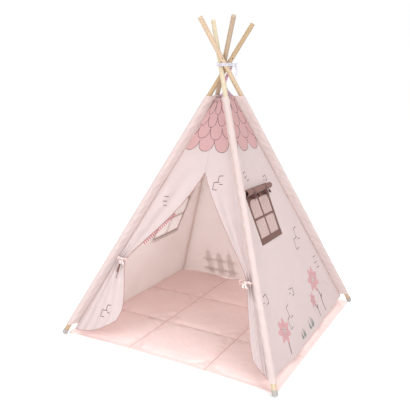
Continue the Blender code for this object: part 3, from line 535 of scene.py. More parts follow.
def moulded(name, colour, other, roughness, metallic=0.0, brushed=(400, 400, 400)):
    """A plain hard surface: slight colour and gloss changes, and a fine grain as bump."""
    made, tree, shader = finish(name, colour, roughness, Metallic=metallic)
    at = add(tree, "TexCoord", out="Object")
    grit = noise(tree, mapped(tree, at, brushed), 1.0)
    tone = blend(tree, noise(tree, at, 40.0, 3.0), srgb(colour), srgb(other))
    feed(tree, shader, Base_Color=tone, Normal=raised(tree, grit, 0.15, GRIT_HEIGHT),
         Roughness=spread(tree, grit, 0.0, 1.0, roughness - 0.08, roughness + 0.1))
    return made


cap_plastic = moulded("grey_moulded_polypropylene", "B4ADA8", "A19B95", 0.5)
tube_steel = moulded("zinc_plated_steel_tube", "B9BCC0", "A6AAB0", 0.35, 1.0, (900, 900, 30))
# the cord is white; its grey-lilac tint is painted shade
cord_cotton_painted_shade = woven("white_cotton_cord_painted_shade", "DEDCE6", "CDC9DA", thread=0.0012, bump=0.3)
print("finishes:", len(bpy.data.materials))

# %% [markdown]
# ## Poles
# Each pole is two turned rods of pine that meet in a steel tube half-way up, with a soft
# cap on its foot and a drilled hole near the top for the cord. The joints of the frame
# give where each pole passes its neighbours. From there its own three directions follow:
# along the pole, under it (towards the tent's middle) and to its side.

# %% The poles' places
BASE = 1.20                  # between pole feet
POLE_LENGTH = 1.889
POLE_RADIUS = 0.01225
CHAMFER = 0.0015
FIT = 0.0003                 # play between two parts
CAP_LENGTH, CAP_WALL, CAP_FLOOR = 0.023, 0.0014, 0.0032
LIP_LOW, LIP_HIGH = 0.017, 0.0222           # the thicker edge of a cap
HAIR = 0.0001                # how far two surfaces are kept apart
BORE_RADIUS, BORE_RISE, DRILL_HALF = 0.003, 0.038, 0.03
SEAM_REACH = POLE_RADIUS + 0.02375
COVER_TOP = 1.235

poles = {}
for joint in frame["joints"]:
    corner = joint["child"].removesuffix("_pole")
    sign = np.array([1 if "right" in corner else -1, 1 if "back" in corner else -1, 0])
    foot = sign * BASE / 2
    passing = np.array(joint["pos_m"])
    below = np.linalg.norm(passing - foot)
    along = (passing - foot) / below
    lean = np.linalg.norm(along[:2])
    under = unit(along * [1, 1, 0]) * along[2] - UP * lean
    poles[corner] = dict(foot=foot, passing=passing, below=below, along=along, under=under,
                         side=np.cross(along, under), tan=lean / along[2], cos=along[2],
                         body=joint["child"], joint=joint["name"])
print({corner: round(float(np.degrees(np.arctan(p["tan"]))), 1) for corner, p in poles.items()}, "degrees")


def on_pole(pole, points):
    """Points given as (under, side, along from the floor point), in the shared frame."""
    return pole["foot"] + points @ np.stack([pole["under"], pole["side"], pole["along"]])


def seam(pole, height):
    """The corner seam's point at a height: a line beside the pole, on its inner side."""
    start = pole["foot"] + pole["under"] * SEAM_REACH
    return start + pole["along"] * ((np.asarray(height, float)[..., None] - start[2]) / pole["along"][2])


# %% Rods and caps
GRAIN_STEP = np.array([0.013, -0.009, 0.7])  # between the pieces of wood that two poles are cut from


def turned_piece(name, pole, profile, stuff, seed):
    """A turned piece on a pole; the attribute "grain" keeps its own upright coordinates."""
    points, faces = lathe(*np.array(profile).T)
    made = piece(name, on_pole(pole, points), faces, stuff, sharp=50)
    grain = made.data.attributes.new("grain", "FLOAT_VECTOR", "POINT")
    moved = points + seed * GRAIN_STEP
    grain.data.foreach_set("vector", moved.astype(np.float32).ravel())
    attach(made, pole["body"])
    return made


tones = [("C0AA8D", "B59A76"), ("D2C4A8", "C6AE88"), ("CBB498", "C0A284"), ("B39C85", "A8886F")]
r, c, middle = POLE_RADIUS, CHAMFER, POLE_LENGTH / 2
cap_r, outer = r + FIT + CAP_WALL, r + FIT + CAP_WALL - HAIR
# the cap is a thin cup with a thicker lip, moulded with rounded corners
cup = np.array([(0, 0), (outer - 1.6 * c, 0), (outer - 0.5 * c, 0.3 * c), (outer, 1.3 * c), (outer, LIP_LOW),
                (cap_r, LIP_LOW + c), (cap_r, LIP_HIGH), (cap_r - 5 * HAIR, CAP_LENGTH),
                (r + FIT, CAP_LENGTH - 2 * HAIR), (r + FIT, CAP_FLOOR + HAIR), (0, CAP_FLOOR + HAIR)])
# the tip's edge is rounded by hand sanding, so its chamfer is three small steps
tip = [(r, POLE_LENGTH - c), (r - 0.28 * c, POLE_LENGTH - 0.34 * c), (r - c, POLE_LENGTH - 0.02 * c),
       (r * 0.5, POLE_LENGTH), (0, POLE_LENGTH)]
low, high = middle - FIT / 2, middle + FIT / 2
upper = [(0, high), (r - c, high), (r, high + c)]
upper += [(r, z) for z in np.linspace(middle + 0.01, POLE_LENGTH - 0.01, 36)] + tip
drill_points, drill_faces = lathe([0, BORE_RADIUS, BORE_RADIUS, 0], np.array([-1, -1, 1, 1]) * DRILL_HALF, 24)
for number, (corner, pole) in enumerate(poles.items()):
    wood = pine("turned_pine_" + corner, *tones[number], (0.012 + 0.003 * number, 0.006, 0.4 * number))
    cap_low = max((cap_r - c) * pole["tan"], cap_r * pole["tan"] - c)
    foot = cap_low + CAP_FLOOR + FIT
    lower = [(0, foot), (r - c, foot), (r, foot + c)] + [(r, z) for z in np.linspace(0.06, middle - 0.01, 24)]
    lower += [(r, low - c), (r - c, low), (0, low)]
    rod = turned_piece("rod_lower_" + corner, pole, lower, wood, number + 1)
    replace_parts(rod, "pole_lower_" + corner)
    rod = turned_piece("rod_upper_" + corner, pole, upper, wood, number + 1)
    # the cord hole is drilled across: a rod is taken away with a boolean
    across_pole = drill_points[:, [0, 2, 1]] * [1, 1, -1] + [0, 0, pole["below"] + BORE_RISE]
    drill = piece("drill", on_pole(pole, across_pole), drill_faces, wood)
    cut = rod.modifiers.new("cord_hole", "BOOLEAN")
    cut.object, cut.solver = drill, "EXACT"
    holed = bpy.data.meshes.new_from_object(rod.evaluated_get(bpy.context.evaluated_depsgraph_get()))
    rod.modifiers.clear()
    rod.data = holed
    bpy.data.objects.remove(drill)
    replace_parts(rod, "pole_upper_" + corner)
    cap = turned_piece("cap_" + corner, pole, cup + [0, cap_low], cap_plastic, number)
    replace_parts(cap, "foot_cap_" + corner)
    connector = frame["nodes"]["pole_connector_" + corner].data
    connector.materials.clear()
    connector.materials.append(tube_steel)
print("poles done")

# %% [markdown]
# ## Cover: the shape of a wall
# A wall is stretched between two corner seams. Across it runs from 0 at the first seam
# to 1 at the second, and its outer side is where across x up points. Taut cloth draws in
# a little between the seams. It also puckers beside every seam, where the thread pulls
# it together, and soft waves run over it, strongest near the hem where nothing holds it.

# %% Wall frame
CLOTH = 0.0015
SEAM_GAP = 0.0010
WALL_BOW = 0.008
HEM_HEIGHT = 0.044
HEM_DROPS = {"right": (0.022, 0.36), "back": (0.0015, 0.5), "left": (0.0015, 0.55)}
HEM_LOW = 0.0105             # where the back and left walls come down to the mat
BACK_RISE, LEFT_RISE = 0.12, 0.10           # shares of their width over which those hems rise
HEM_SWELL = 0.009
FOLD_DEPTH, FOLD_RISE = 0.004, 0.36
FAN_DEPTH, FAN_REACH, FAN_SPREAD, FAN_RAYS = 0.0016, 0.20, 0.16, 15
PUCKER_DEPTH, PUCKER_LENGTH, PUCKER_REACH = 0.0011, 0.019, 0.018
SEWN_FLAT = 0.004            # beside a seam, where the stitches keep the cloth flat
PEAK_RISE = 0.062
MEASURED_AT = 0.6            # the height at which a wall's direction is taken
WAVE_SEEDS = {"right": 2, "back": 3, "left": 4}
WALLS = {
    "front": (poles["front_left"], poles["front_right"]),
    "right": (poles["front_right"], poles["back_right"]),
    "back": (poles["back_right"], poles["back_left"]),
    "left": (poles["back_left"], poles["front_left"]),
}


def ends(wall, height):
    first, second = WALLS[wall]
    return seam(first, height), seam(second, height)


def width(wall, height):
    a, b = ends(wall, height)
    return np.linalg.norm(b - a, axis=-1)


def outward(wall, height):
    a, b = ends(wall, height)
    c, d = ends(wall, np.asarray(height, float) + 0.1)
    return unit(np.cross(b - a, (c + d) / 2 - (a + b) / 2))


def slant(wall):
    """A wall leans, so a length along it is this much more than its rise."""
    return float(1 / np.hypot(*outward(wall, MEASURED_AT)[:2]))


def bulge(across):
    """0 at both seams and 1 half-way between them."""
    return 4 * across * (1 - across)


def wall_point(wall, across, height, out=0.0):
    """Across the straight line between the seams, drawn in between them, and out by a distance."""
    a, b = ends(wall, height)
    draw = np.maximum(bulge(across) * WALL_BOW * (COVER_TOP - height) / COVER_TOP, 0)
    flat = a + (b - a) * np.asarray(across)[..., None]
    return flat + outward(wall, height) * np.asarray(out - draw)[..., None]


def inset(wall, height):
    return (CLOTH / 2 + SEAM_GAP) / width(wall, height)


def hem_line(wall, across):
    """Height of the lower edge, which hangs in an arc whose lowest place may be off the middle."""
    drop, lowest = HEM_DROPS[wall]
    # back and left walls come down to the mat, and rise only near the back right and front left poles
    rise = {"right": 1.0, "back": ease((BACK_RISE - across) / BACK_RISE),
            "left": ease((across - 1 + LEFT_RISE) / LEFT_RISE)}[wall]
    arc = hump(np.clip(across, 0, 1) ** (np.log(0.5) / np.log(lowest)))
    return HEM_LOW + (HEM_HEIGHT - HEM_LOW) * rise - drop * arc


def waves(x, z, seed, count=6, longest=0.42, depth=0.0011):
    """A sum of plane waves with fixed random directions, lengths and starts."""
    random = np.random.default_rng(seed)
    total = 0.0
    for _ in range(count):
        turn = random.uniform(-0.9, 0.9)
        length = random.uniform(0.25, 1.0) * longest
        start = random.uniform(0, 6.3)
        way = x * np.cos(turn) + z * np.sin(turn)
        total = total + np.sin(2 * np.pi * way / length + start) * length / longest
    return total * depth / np.sqrt(count) * 1.6


def puckers(away, z, seed):
    """Short creases across a seam: a wave along it that fades with the distance from it."""
    wobble = 0.5 + 0.5 * np.sin(z / 0.047 + seed) * np.sin(z / 0.031 + 2 * seed)
    fine = np.sin(2 * np.pi * z / PUCKER_LENGTH + 1.5 * np.sin(z / 0.06 + seed))
    return PUCKER_DEPTH * wobble * fine * np.exp(-np.maximum(away, 0) / PUCKER_REACH) * ease(away / SEWN_FLAT)


def wall_relief(wall, across, height):
    """How far a wall's cloth stands out of its plane: hem folds, tension waves and puckers."""
    seed, lowest = WAVE_SEEDS[wall], HEM_DROPS[wall][1]
    held = bulge(across)
    fold = np.sin(2 * np.pi * (3.2 * across + lowest)) + 0.5 * np.sin(2 * np.pi * (5.7 * across + 2 * lowest))
    swell = HEM_SWELL * bell((across - lowest) / 0.22)
    out = ease((FOLD_RISE - height) / FOLD_RISE) * held * (FOLD_DEPTH * fold + swell)
    w = width(wall, np.minimum(height, COVER_TOP))
    out = out + held * waves((across - 0.5) * w, height, seed)
    # long shallow folds fan out from both lower corners, where the poles pull the cloth
    for corner, way in ((0.0, 1), (1.0, -1)):
        dx, dz = (across - corner) * way * w, height - 0.05
        ring = bell((np.hypot(dx, dz) - FAN_REACH) / FAN_SPREAD)
        angle = np.arctan2(dz, np.maximum(dx, 1e-6))
        out = out + FAN_DEPTH * np.sin(angle * FAN_RAYS + seed) * ring * held ** 0.5
    away = np.minimum(across, 1 - across) * w
    return out + puckers(away, height, seed + np.where(across < 0.5, 0.0, 3.0))


def surface(wall, across, height, off=0.0):
    """Points of a plain wall's own curved surface, and off it by a distance."""
    return wall_point(wall, across, height, wall_relief(wall, across, height) + off)


def flat_place(wall, across, height):
    """A place on a wall in metres: x from its middle line, and the height."""
    x = (across - 0.5) * width(wall, np.minimum(height, COVER_TOP))
    return np.stack(np.broadcast_arrays(x, height), axis=-1)


# %% [markdown]
# The grid of a side wall bends its lines so that some run exactly along the edges of
# the window opening, and one runs up the wall's middle. There the wall is cut in two,
# because each half has to follow its own pole when the tent is folded.

# %% Grids of the plain walls
# each window's sides, as x from the wall's middle line, and its heights. The back wall has no window,
# but a grid of the same kind
WINDOWS = {
    "right": dict(low=-0.180, high=0.066, sill=0.530, head=0.755),
    "left": dict(low=-0.195, high=0.095, sill=0.398, head=0.644),
    "back": dict(low=-0.150, high=0.150, sill=0.450, head=0.700),
}
FRAME_SIDE, FRAME_SILL, BAR_WIDTH = 0.017, 0.027, 0.011
HEM_DEEP, HEM_EDGE, HEM_THICKER = 0.0165, 0.0025, 0.0011


def stops(places, counts):
    """Even steps between places, with counts[k] steps from place k to the next."""
    runs = [np.linspace(a, b, n, endpoint=False) for a, b, n in zip(places, places[1:], counts)]
    return np.concatenate([*runs, places[-1:]])


def banded(t, a, b, c, d):
    """A value that is a, b, c and d at t = 0, 1, 2 and 3, and runs straight between them."""
    return np.where(t < 1, a + (b - a) * t, np.where(t < 2, b + (c - b) * (t - 1), c + (d - c) * (t - 2)))


def band_of(value, a, b, c, d):
    """The t at which banded gives a value."""
    high = np.where(value < c, 1 + (value - b) / (c - b), 2 + (value - c) / (d - c))
    return np.where(value < b, (value - a) / (b - a), high)


def rank(value, knots):
    """The place of a value in a rising row of knots, with a fraction between two of them."""
    return np.interp(value, knots, np.arange(len(knots)))


def opening(wall):
    w = WINDOWS[wall]
    return w["low"] + FRAME_SIDE, w["high"] - FRAME_SIDE, w["sill"] + FRAME_SILL, w["head"] - FRAME_SIDE


def top_line(wall, across):
    rise = PEAK_RISE * np.clip(1 - np.abs(2 * across - 1), 0, 1) ** 1.3 if wall == "back" else 0.0
    return COVER_TOP + rise


def columns(wall, height):
    """Across at the first seam, at both sides of the opening and at the second seam."""
    x0, x1, _, z1 = opening(wall)
    start, w = inset(wall, np.minimum(height, COVER_TOP)), width(wall, np.minimum(height, z1))
    return start, 0.5 + x0 / w, 0.5 + x1 / w, 1 - start


def rows(wall, across):
    """Height of the hem, of the opening's sill and head, and of the top."""
    return hem_line(wall, across), *opening(wall)[2:], top_line(wall, across)


def plain_panel(wall):
    """A wall's points from (c, r). Both are 1 where the opening begins, 2 where it ends and 3 at the edge."""
    x0, x1, _, _ = opening(wall)
    middle = 1 - x0 / (x1 - x0)
    beside = [round(34 * (middle - 1)), round(34 * (2 - middle))]
    cs = stops([0, 0.03, 1, middle, 2, 2.97, 3], [4, 54, *beside, 54, 4])
    rs = stops([0, 0.045, 1, 2, 3], [8, 60, 24, 60])
    c, r = crossed(cs, rs)
    # the grid's columns depend on the height and its rows on across, so both are found in a few rounds
    height = np.full(c.shape, 0.3)
    for _ in range(4):
        across = banded(c, *columns(wall, height))
        height = banded(r, *rows(wall, across))
    points = surface(wall, across, height)
    # the hem is folded up twice, so the cloth is thicker there
    thick = CLOTH + HEM_THICKER * (1 - ease((height - hem_line(wall, across) - HEM_DEEP) / HEM_EDGE))
    keep = np.ones((len(cs) - 1, len(rs) - 1), bool)
    if wall in ("left", "right"):
        keep[np.ix_((cs[:-1] >= 1) & (cs[:-1] < 2), (rs[:-1] >= 1) & (rs[:-1] < 2))] = False
    return dict(wall=wall, cs=cs, rs=rs, points=points, normal=normals_of(points), thick=thick, keep=keep,
                places=flat_place(wall, across, height), height=height,
                split=int(np.argmin(np.abs(cs - middle))))


def place_on_plain(panel, x, z):
    """The grid place (i, j) of a point x metres from the wall's middle line at height z."""
    s = 0.5 + x / width(panel["wall"], np.minimum(z, COVER_TOP))
    c, r = band_of(s, *columns(panel["wall"], z)), band_of(z, *rows(panel["wall"], s))
    return rank(c, panel["cs"]), rank(r, panel["rs"])


def lifted(panel, i, j, off, inside=False):
    """Points on a panel's skin at grid places (i, j), between its points, and off it by a distance."""
    side = -1.0 if inside else 1.0
    skin = panel["points"] + panel["normal"] * side * (panel["thick"][..., None] / 2 + off)
    i0 = np.clip(np.floor(i).astype(int), 0, skin.shape[0] - 2)
    j0 = np.clip(np.floor(j).astype(int), 0, skin.shape[1] - 2)
    a, b = (np.clip(i - i0, 0, 1))[..., None], (np.clip(j - j0, 0, 1))[..., None]
    low = skin[i0, j0] * (1 - a) + skin[i0 + 1, j0] * a
    high = skin[i0, j0 + 1] * (1 - a) + skin[i0 + 1, j0 + 1] * a
    return low * (1 - b) + high * b


# %% Cutting a wall in two and hanging the halves on their poles
def follow(made, wall, half):
    """A piece on one half of a wall: it rides on that half's pole."""
    pole = WALLS[wall][half]
    axis = unit(np.cross(outward(wall, MEASURED_AT), pole["along"]))
    anchor = seam(pole, MEASURED_AT)
    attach(made, pole["body"])
    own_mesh(made)
    return made


def cut_of(panel, part):
    """Width, length and area of the flat cloth that a part of a panel is cut from.

    Its cells are measured in the cloth's own coordinates, where they lie flat. Heights are
    taken along the leaning wall: the rise, times the root of 1 + lean squared. A curtain is
    cut as wide at each height as its gathered cloth is when it is smoothed out.
    """
    longer = slant(panel["wall"])
    if panel["wall"] == "front":
        wide = np.linalg.norm(np.diff(panel["points"], axis=0), axis=-1).sum(axis=0)
        down = panel["height"].mean(axis=0) * longer
        area = float(((wide[1:] + wide[:-1]) / 2 * np.diff(down)).sum())
        return (float(wide.max()), float(np.ptp(panel["height"]) * longer)), area
    flat = panel["places"][part]
    a, b = np.diff(flat, axis=0)[:, :-1], np.diff(flat, axis=1)[:-1]
    cells = np.abs(a[..., 0] * b[..., 1] - a[..., 1] * b[..., 0]) * panel["keep"][part.start:part.stop - 1]
    wide, tall = np.ptp(flat.reshape(-1, 2), axis=0)
    return (float(wide), float(tall * longer)), float(cells.sum() * longer)


def cloth_piece(name, panel, part, half):
    """A part of a panel as a closed piece of cloth, lined on its inner side."""
    middle, normal = panel["points"][part], panel["normal"][part]
    keep = panel["keep"][part.start:part.stop - 1]
    points, faces, kind, index = shell(middle, panel["thick"][part], keep, normal)
    outer = np.arange(len(points)) < len(points) // 2
    normals = normal.reshape(-1, 3)[index] * np.where(outer, 1, -1)[:, None]
    places = panel["places"][part].reshape(-1, 2)[index]
    made = piece(name, points, faces, [cover_cotton, lining_cotton], places, normals, kind)
    flat, area = cut_of(panel, part)
    print("%s: cut from %.3f x %.3f m, %.3f square metres" % (name, *flat, area))
    return follow(made, panel["wall"], half)


panels, halves = {}, {}
for wall in WAVE_SEEDS:
    panel = panels[wall] = plain_panel(wall)
    k = panel["split"]
    parts = ("first", slice(0, k + 1)), ("second", slice(k, len(panel["cs"])))
    halves[wall] = [cloth_piece("%s_wall_near_%s_seam" % (wall, name), panel, part, half)
                    for half, (name, part) in enumerate(parts)]
    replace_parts(halves[wall][0], "wall_" + wall)
    print(wall, "wall:", panel["points"].shape[:2], "points a skin")

# %% [markdown]
# ## Door curtains
# The front is sewn shut near the top and open below. Each half runs from its corner seam
# (u = 0) to its open edge (u = 1). Below the sewn part the open edge falls away in a
# power curve to a ribbon, where the cloth is drawn up into pleats, and then it hangs free
# and spreads again. The pleats are deepest at the ribbon and fan out above and below it.

# %% Curtains
DOOR_SPLIT, DOOR_PEAK = 0.53, 0.8645
HALF = {"left": DOOR_SPLIT, "right": 1 - DOOR_SPLIT}
WAY = {"left": 1, "right": -1}
SLIT_GAP = 0.0004            # half the play between the two curtains where they are sewn together
TIE_V, SLIT_V = 0.32, 0.72
NECK_OVER, NECK_UNDER = 0.012, 0.018        # shares of the way from the tie that stay gathered
GATHER_DEPTH, GATHER_PLEATS = 0.009, 3
DRAPE_DEPTH, SLACK_DEPTH = 0.0065, 0.0076
SAG_LEFT, SAG_RIGHT = 0.019, 0.0095
HEM_FOLD, EDGE_FOLD, FOLD_THICKER = 0.018, 0.014, 0.0008
CUT_LENGTH, CUT_WIDTH = 0.9, 0.45           # metres of cloth for v and for u from 0 to 1, about
CURTAINS = {
    "left": dict(tie=0.400, width=0.051, spread=0.215, curve=1.28, low=0.026, high=0.115, hem=2.6,
                 swell=0.020, fade=1.9),
    "right": dict(tie=0.409, width=0.038, spread=0.068, curve=1.38, low=0.044, high=0.104, hem=1.2,
                  swell=0.010, fade=4.0),
}


def freed(t, neck):
    """The way from the tie, from 0 where the cloth comes free of its ribbon."""
    return np.maximum(t - neck, 0) / (1 - neck)


def edge_over(side, free, full):
    """Across of the open edge from the tie up to the slit's end, where it is full."""
    gathered = CURTAINS[side]["width"] / width("front", CURTAINS[side]["tie"])
    return gathered + (full - gathered) * free ** CURTAINS[side]["curve"]


def edge_under(side, free):
    """Across of the open edge from the tie down to the hem."""
    gathered = CURTAINS[side]["width"] / width("front", CURTAINS[side]["tie"])
    spread_out = hump(np.minimum(free, 1) / 2) ** 1.1
    edge = gathered + (CURTAINS[side]["spread"] - gathered) * spread_out
    return edge * (1 - 0.05 * ease((free - 0.8) / 0.2))


def curtain_hem(side, u):
    spec = CURTAINS[side]
    return spec["low"] + (spec["high"] - spec["low"]) * u ** spec["hem"]


def tiers(v, high, mid, low):
    """Each tier's own values: above the slit, from there down to the tie, and under it."""
    return np.where(v >= SLIT_V, high, np.where(v >= TIE_V, mid, low))


def curtain(side, u, v):
    """Points and height of a curtain at (u, v): three tiers meet at the tie and at the slit's end."""
    spec, half, tie = CURTAINS[side], HALF[side], CURTAINS[side]["tie"]
    # above the slit: a plain wall whose top edge hangs a little, most beside the left pole
    sag = SAG_LEFT * ease(u / 0.28) * (1 - 0.5 * u) if side == "left" else SAG_RIGHT * ease(u / 0.6)
    z_high = DOOR_PEAK + (COVER_TOP - sag - DOOR_PEAK) * (v - SLIT_V) / (1 - SLIT_V)
    edge_high = half - SLIT_GAP / width("front", np.maximum(z_high, 0.5))
    # from the tie to the slit: the edge sweeps across
    t = (v - TIE_V) / (SLIT_V - TIE_V)
    z_mid = tie + (DOOR_PEAK - tie) * t
    free_mid = freed(t, NECK_OVER)
    edge_mid = edge_over(side, free_mid, half - SLIT_GAP / width("front", DOOR_PEAK))
    pleat_mid = GATHER_DEPTH * np.exp(-free_mid * spec["fade"] / 0.30) * (1 - free_mid)
    # under the tie: it hangs and spreads
    t = 1 - v / TIE_V
    z_low = tie + (curtain_hem(side, u) - tie) * t
    free_low = freed(t, NECK_UNDER)
    pleat_low = GATHER_DEPTH * (1 - 0.93 * ease(free_low * spec["fade"]))
    swell_low = spec["swell"] * hump(0.62 * free_low) * hump(0.85 * u)
    above, between = v >= SLIT_V, (v >= TIE_V) & (v < SLIT_V)
    z = tiers(v, z_high, z_mid, z_low)
    edge = tiers(v, edge_high, edge_mid, edge_under(side, free_low))
    pleat, swell = tiers(v, 0, pleat_mid, pleat_low), tiers(v, 0, 0, swell_low)
    start = inset("front", z)
    across = start + (edge - start) * u
    hold = ease(u / 0.16) * ease((0.94 - u) / 0.15)
    main = np.sin(2 * np.pi * GATHER_PLEATS * u)
    fine = 0.22 * np.sin(2 * np.pi * (2.67 * GATHER_PLEATS * u) + 1.0)
    out = pleat * hold * (main + fine * ease(free_low * 3 + 3 * free_mid * between)) + swell
    # broad soft drapes run up from the tie to the slit's edge, and slack ones hang below it
    drape = between * DRAPE_DEPTH * hump(np.clip(free_mid, 0, 1)) ** 0.8 * ease(u / 0.25)
    out = out + drape * np.sin(2 * np.pi * (1.6 * u + 0.25 * free_mid) + (0.4 if side == "left" else 1.3))
    slack = (~above & ~between) * (SLACK_DEPTH / spec["fade"]) * free_low * hold
    out = out + slack * np.sin(2 * np.pi * (4.3 * u - 0.3 * free_low))
    w = width("front", z)
    taut = above * bulge(across / (2 * half)) + 0.5 * between * ease(free_mid)
    out = out + taut * waves((across - 0.5) * w * WAY[side], z, 6)
    out = out + puckers(across * w, z, 7.0)
    return wall_point("front", across if side == "left" else 1 - across, z, out), z


def curtain_panel(side):
    us = stops([0, 0.04, 0.96, 1], [4, 112, 5])[::WAY[side]]
    vs = stops([0, 0.012, TIE_V - 0.012, TIE_V + 0.012, SLIT_V, 1], [4, 58, 12, 84, 56])
    u, v = crossed(us, vs)
    points, height = curtain(side, u, v)
    # a hem runs along the open edge and along the bottom
    hem = 1 - ease((v * CUT_LENGTH - HEM_FOLD) / 0.006)
    edge = (v < SLIT_V) * (1 - ease(((1 - u) * CUT_WIDTH - EDGE_FOLD) / 0.004))
    thick = CLOTH + FOLD_THICKER * np.maximum(hem, edge)
    # the cloth's own coordinates: its cut is a trapezoid, whatever the folds do to it
    x = (DOOR_SPLIT - 0.5 - WAY[side] * (1 - u) * HALF[side]) * width("front", height)
    return dict(wall="front", side=side, us=us, vs=vs, points=points, normal=normals_of(points), thick=thick,
                places=np.stack([x, height], axis=-1), height=height,
                keep=np.ones((len(us) - 1, len(vs) - 1), bool))


def place_on_curtain(panel, x, z):
    """The grid place of a point of the front wall, x metres from its middle line at height z."""
    side = panel["side"]
    half, tie = HALF[side], CURTAINS[side]["tie"]
    s = 0.5 + WAY[side] * x / width("front", z)
    t = np.clip((z - tie) / (DOOR_PEAK - tie), 0, 1)
    edge = np.where(z > DOOR_PEAK, half, edge_over(side, freed(t, NECK_OVER), half))
    start = inset("front", z)
    u = (s - start) / (edge - start)
    v = np.where(z > DOOR_PEAK, SLIT_V + (1 - SLIT_V) * (z - DOOR_PEAK) / (COVER_TOP - DOOR_PEAK),
                 TIE_V + (SLIT_V - TIE_V) * t)
    # below the tie the hem's height differs with u, so the place is found in a few rounds
    w = 0.5 + 0 * s
    for _ in range(8):
        t = np.clip((z - tie) / (curtain_hem(side, w) - tie), 0, 1)
        w = np.clip((s - start) / (edge_under(side, freed(t, NECK_UNDER)) - start), 0, 1)
    u, v = np.where(z < tie, w, u), np.where(z < tie, TIE_V * (1 - t), v)
    i = rank(u, panel["us"][::WAY[side]])
    return i if side == "left" else len(panel["us"]) - 1 - i, rank(v, panel["vs"])


for half, side in enumerate(("left", "right")):
    panel = panels["front_" + side] = curtain_panel(side)
    made = cloth_piece("door_curtain_" + side, panel, slice(0, len(panel["us"])), half)
    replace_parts(made, "front_" + side)
print("curtains:", panel["points"].shape[:2], "points a skin")

# %% [markdown]
# ## Pole sleeves
# A sleeve is a tunnel of cloth, drop-shaped in section: round over the pole and sewn
# flat along the corner seam. It is a little too wide for the pole, so it puckers at the
# seam and slack creases wind round it. Both its skins are worked out level by level.

# %% Sleeves
SLEEVE_CLOTH, SLEEVE_ROOM, SEAM_EDGE, TUBE_WALL = 0.0012, 0.0014, 0.0026, 0.0008
SLEEVE_END, LOW_SLEEVE_END = 0.056, 0.032
SLACK_PUFF, SEAM_PUFF, TOP_PUFF, HEM_PUFF = 0.0040, 0.0034, 0.0012, 0.0006
CREASE_LENGTH, GATHER_LENGTH = 0.052, 0.027
HEM_WIDE = 0.016
COUNT = 64                   # points round a sleeve
BINDING_WIDE, BINDING_THICK, BINDING_COUNT, BINDING_LEVELS = 0.016, 0.0009, 12, 120


def drop_outline(radius, shift, reach, half):
    """Evenly spaced points round a circle joined by two straight sides to a flat tip."""
    lead = np.arccos(radius / (reach - shift))
    a = np.linspace(lead, 2 * np.pi - lead, 80)
    line = np.vstack([[reach, half], [shift, 0] + radius * circle(a), [reach, -half]])
    even = np.linspace(0, run_of(line)[-1], COUNT)
    return at_runs(line, even), even


def swing(x):
    """A wave between 0 and 1."""
    return 0.5 + 0.5 * np.sin(x)


inside = POLE_RADIUS + FIT + TUBE_WALL + SLEEVE_ROOM
shift = SLEEVE_ROOM - FIT
tip = SEAM_REACH - SEAM_GAP * 0.3
outer, run = drop_outline(inside + SLEEVE_CLOTH, shift, tip, SEAM_EDGE / 2)
inner, _ = drop_outline(inside, shift, tip - 0.0035, 0.0004)
angle = np.arctan2(outer[:, 1], outer[:, 0] - shift)
away = np.minimum(run, run[-1] - run)
ray = circle(angle)
for number, (corner, pole) in enumerate(poles.items()):
    # at the back left the walls come down to the mat, so their sleeve goes down to the cap
    low_end = LOW_SLEEVE_END if corner == "back_left" else SLEEVE_END
    levels = stops([low_end, low_end + 0.02, COVER_TOP - 0.02, COVER_TOP], [8, 250, 7])
    z, a = crossed(levels, np.abs(angle))
    d = np.broadcast_to(away, z.shape)
    seed = 1.7 * number
    # creases start at the seam and wind round; they are deepest half-way between seam and crown
    flank = hump(np.clip(d / away.max(), 0, 1)) ** 1.5
    # two waves of unlike length make the slack uneven along the pole
    slack = 0.5 + 0.5 * np.sin(2 * np.pi * z / 0.23 + seed) * np.sin(2 * np.pi * z / 0.37 + 2 * seed)
    wind = 2 * np.pi * z / CREASE_LENGTH + 2.2 * a + 1.3 * np.sin(z / 0.07 + seed) + seed
    puff = SLACK_PUFF * flank * (0.3 + 0.7 * slack) * swing(wind) ** 1.2
    wind = 2 * np.pi * z / GATHER_LENGTH + 2.0 * a + 1.2 * np.sin(z / 0.09 + seed) + seed
    beside = bell((d - 0.013) / 0.012)
    puff = puff + SEAM_PUFF * beside * swing(wind) ** 0.7 * (0.45 + 0.55 * slack)
    puff = puff + TOP_PUFF * bell((z - COVER_TOP + 0.012) / 0.004)
    puff = (puff + HEM_PUFF * ease((low_end + HEM_WIDE - z) / 0.003)) * ease(d / SEWN_FLAT)
    rings = []
    for line in (outer, inner):
        flat = line[None] + ray[None] * puff[..., None]
        s = (z + flat[..., 0] * pole["tan"] * pole["cos"]) / pole["cos"]
        rings.append(on_pole(pole, np.concatenate([flat, s[..., None]], axis=-1).reshape(-1, 3)))
    n, k = len(levels), np.arange(COUNT)
    after = (k + 1) % COUNT
    rim = np.stack([after, k, k + n * COUNT, after + n * COUNT], axis=1)
    skin = grid_faces(n, COUNT, ring=True)
    faces = np.concatenate([skin[:, ::-1], skin + n * COUNT, rim, rim[:, ::-1] + (n - 1) * COUNT])
    places = np.tile(pairs(run, z), (2, 1))
    made = piece("pole_sleeve_" + corner, np.concatenate(rings), faces, sleeve_cotton, places, sharp=70)
    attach(made, pole["body"])
    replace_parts(made, "sleeve_" + corner)
    # inside, a narrow binding covers the raw edges of the two walls
    z = np.linspace(0.022 if corner == "back_left" else SLEEVE_END, COVER_TOP - 0.006, BINDING_LEVELS)
    line = seam(pole, z) + pole["under"] * (CLOTH + 0.0016)
    points, faces = sweep(line, rounded(BINDING_WIDE, BINDING_THICK, BINDING_COUNT, 4.0), pole["side"])
    made = piece("seam_binding_" + corner, points, faces, seam_cotton,
                 swept_places(np.arange(BINDING_COUNT) * 0.002, z))
    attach(made, pole["body"])
print("sleeves:", n, "levels of", COUNT, "points")

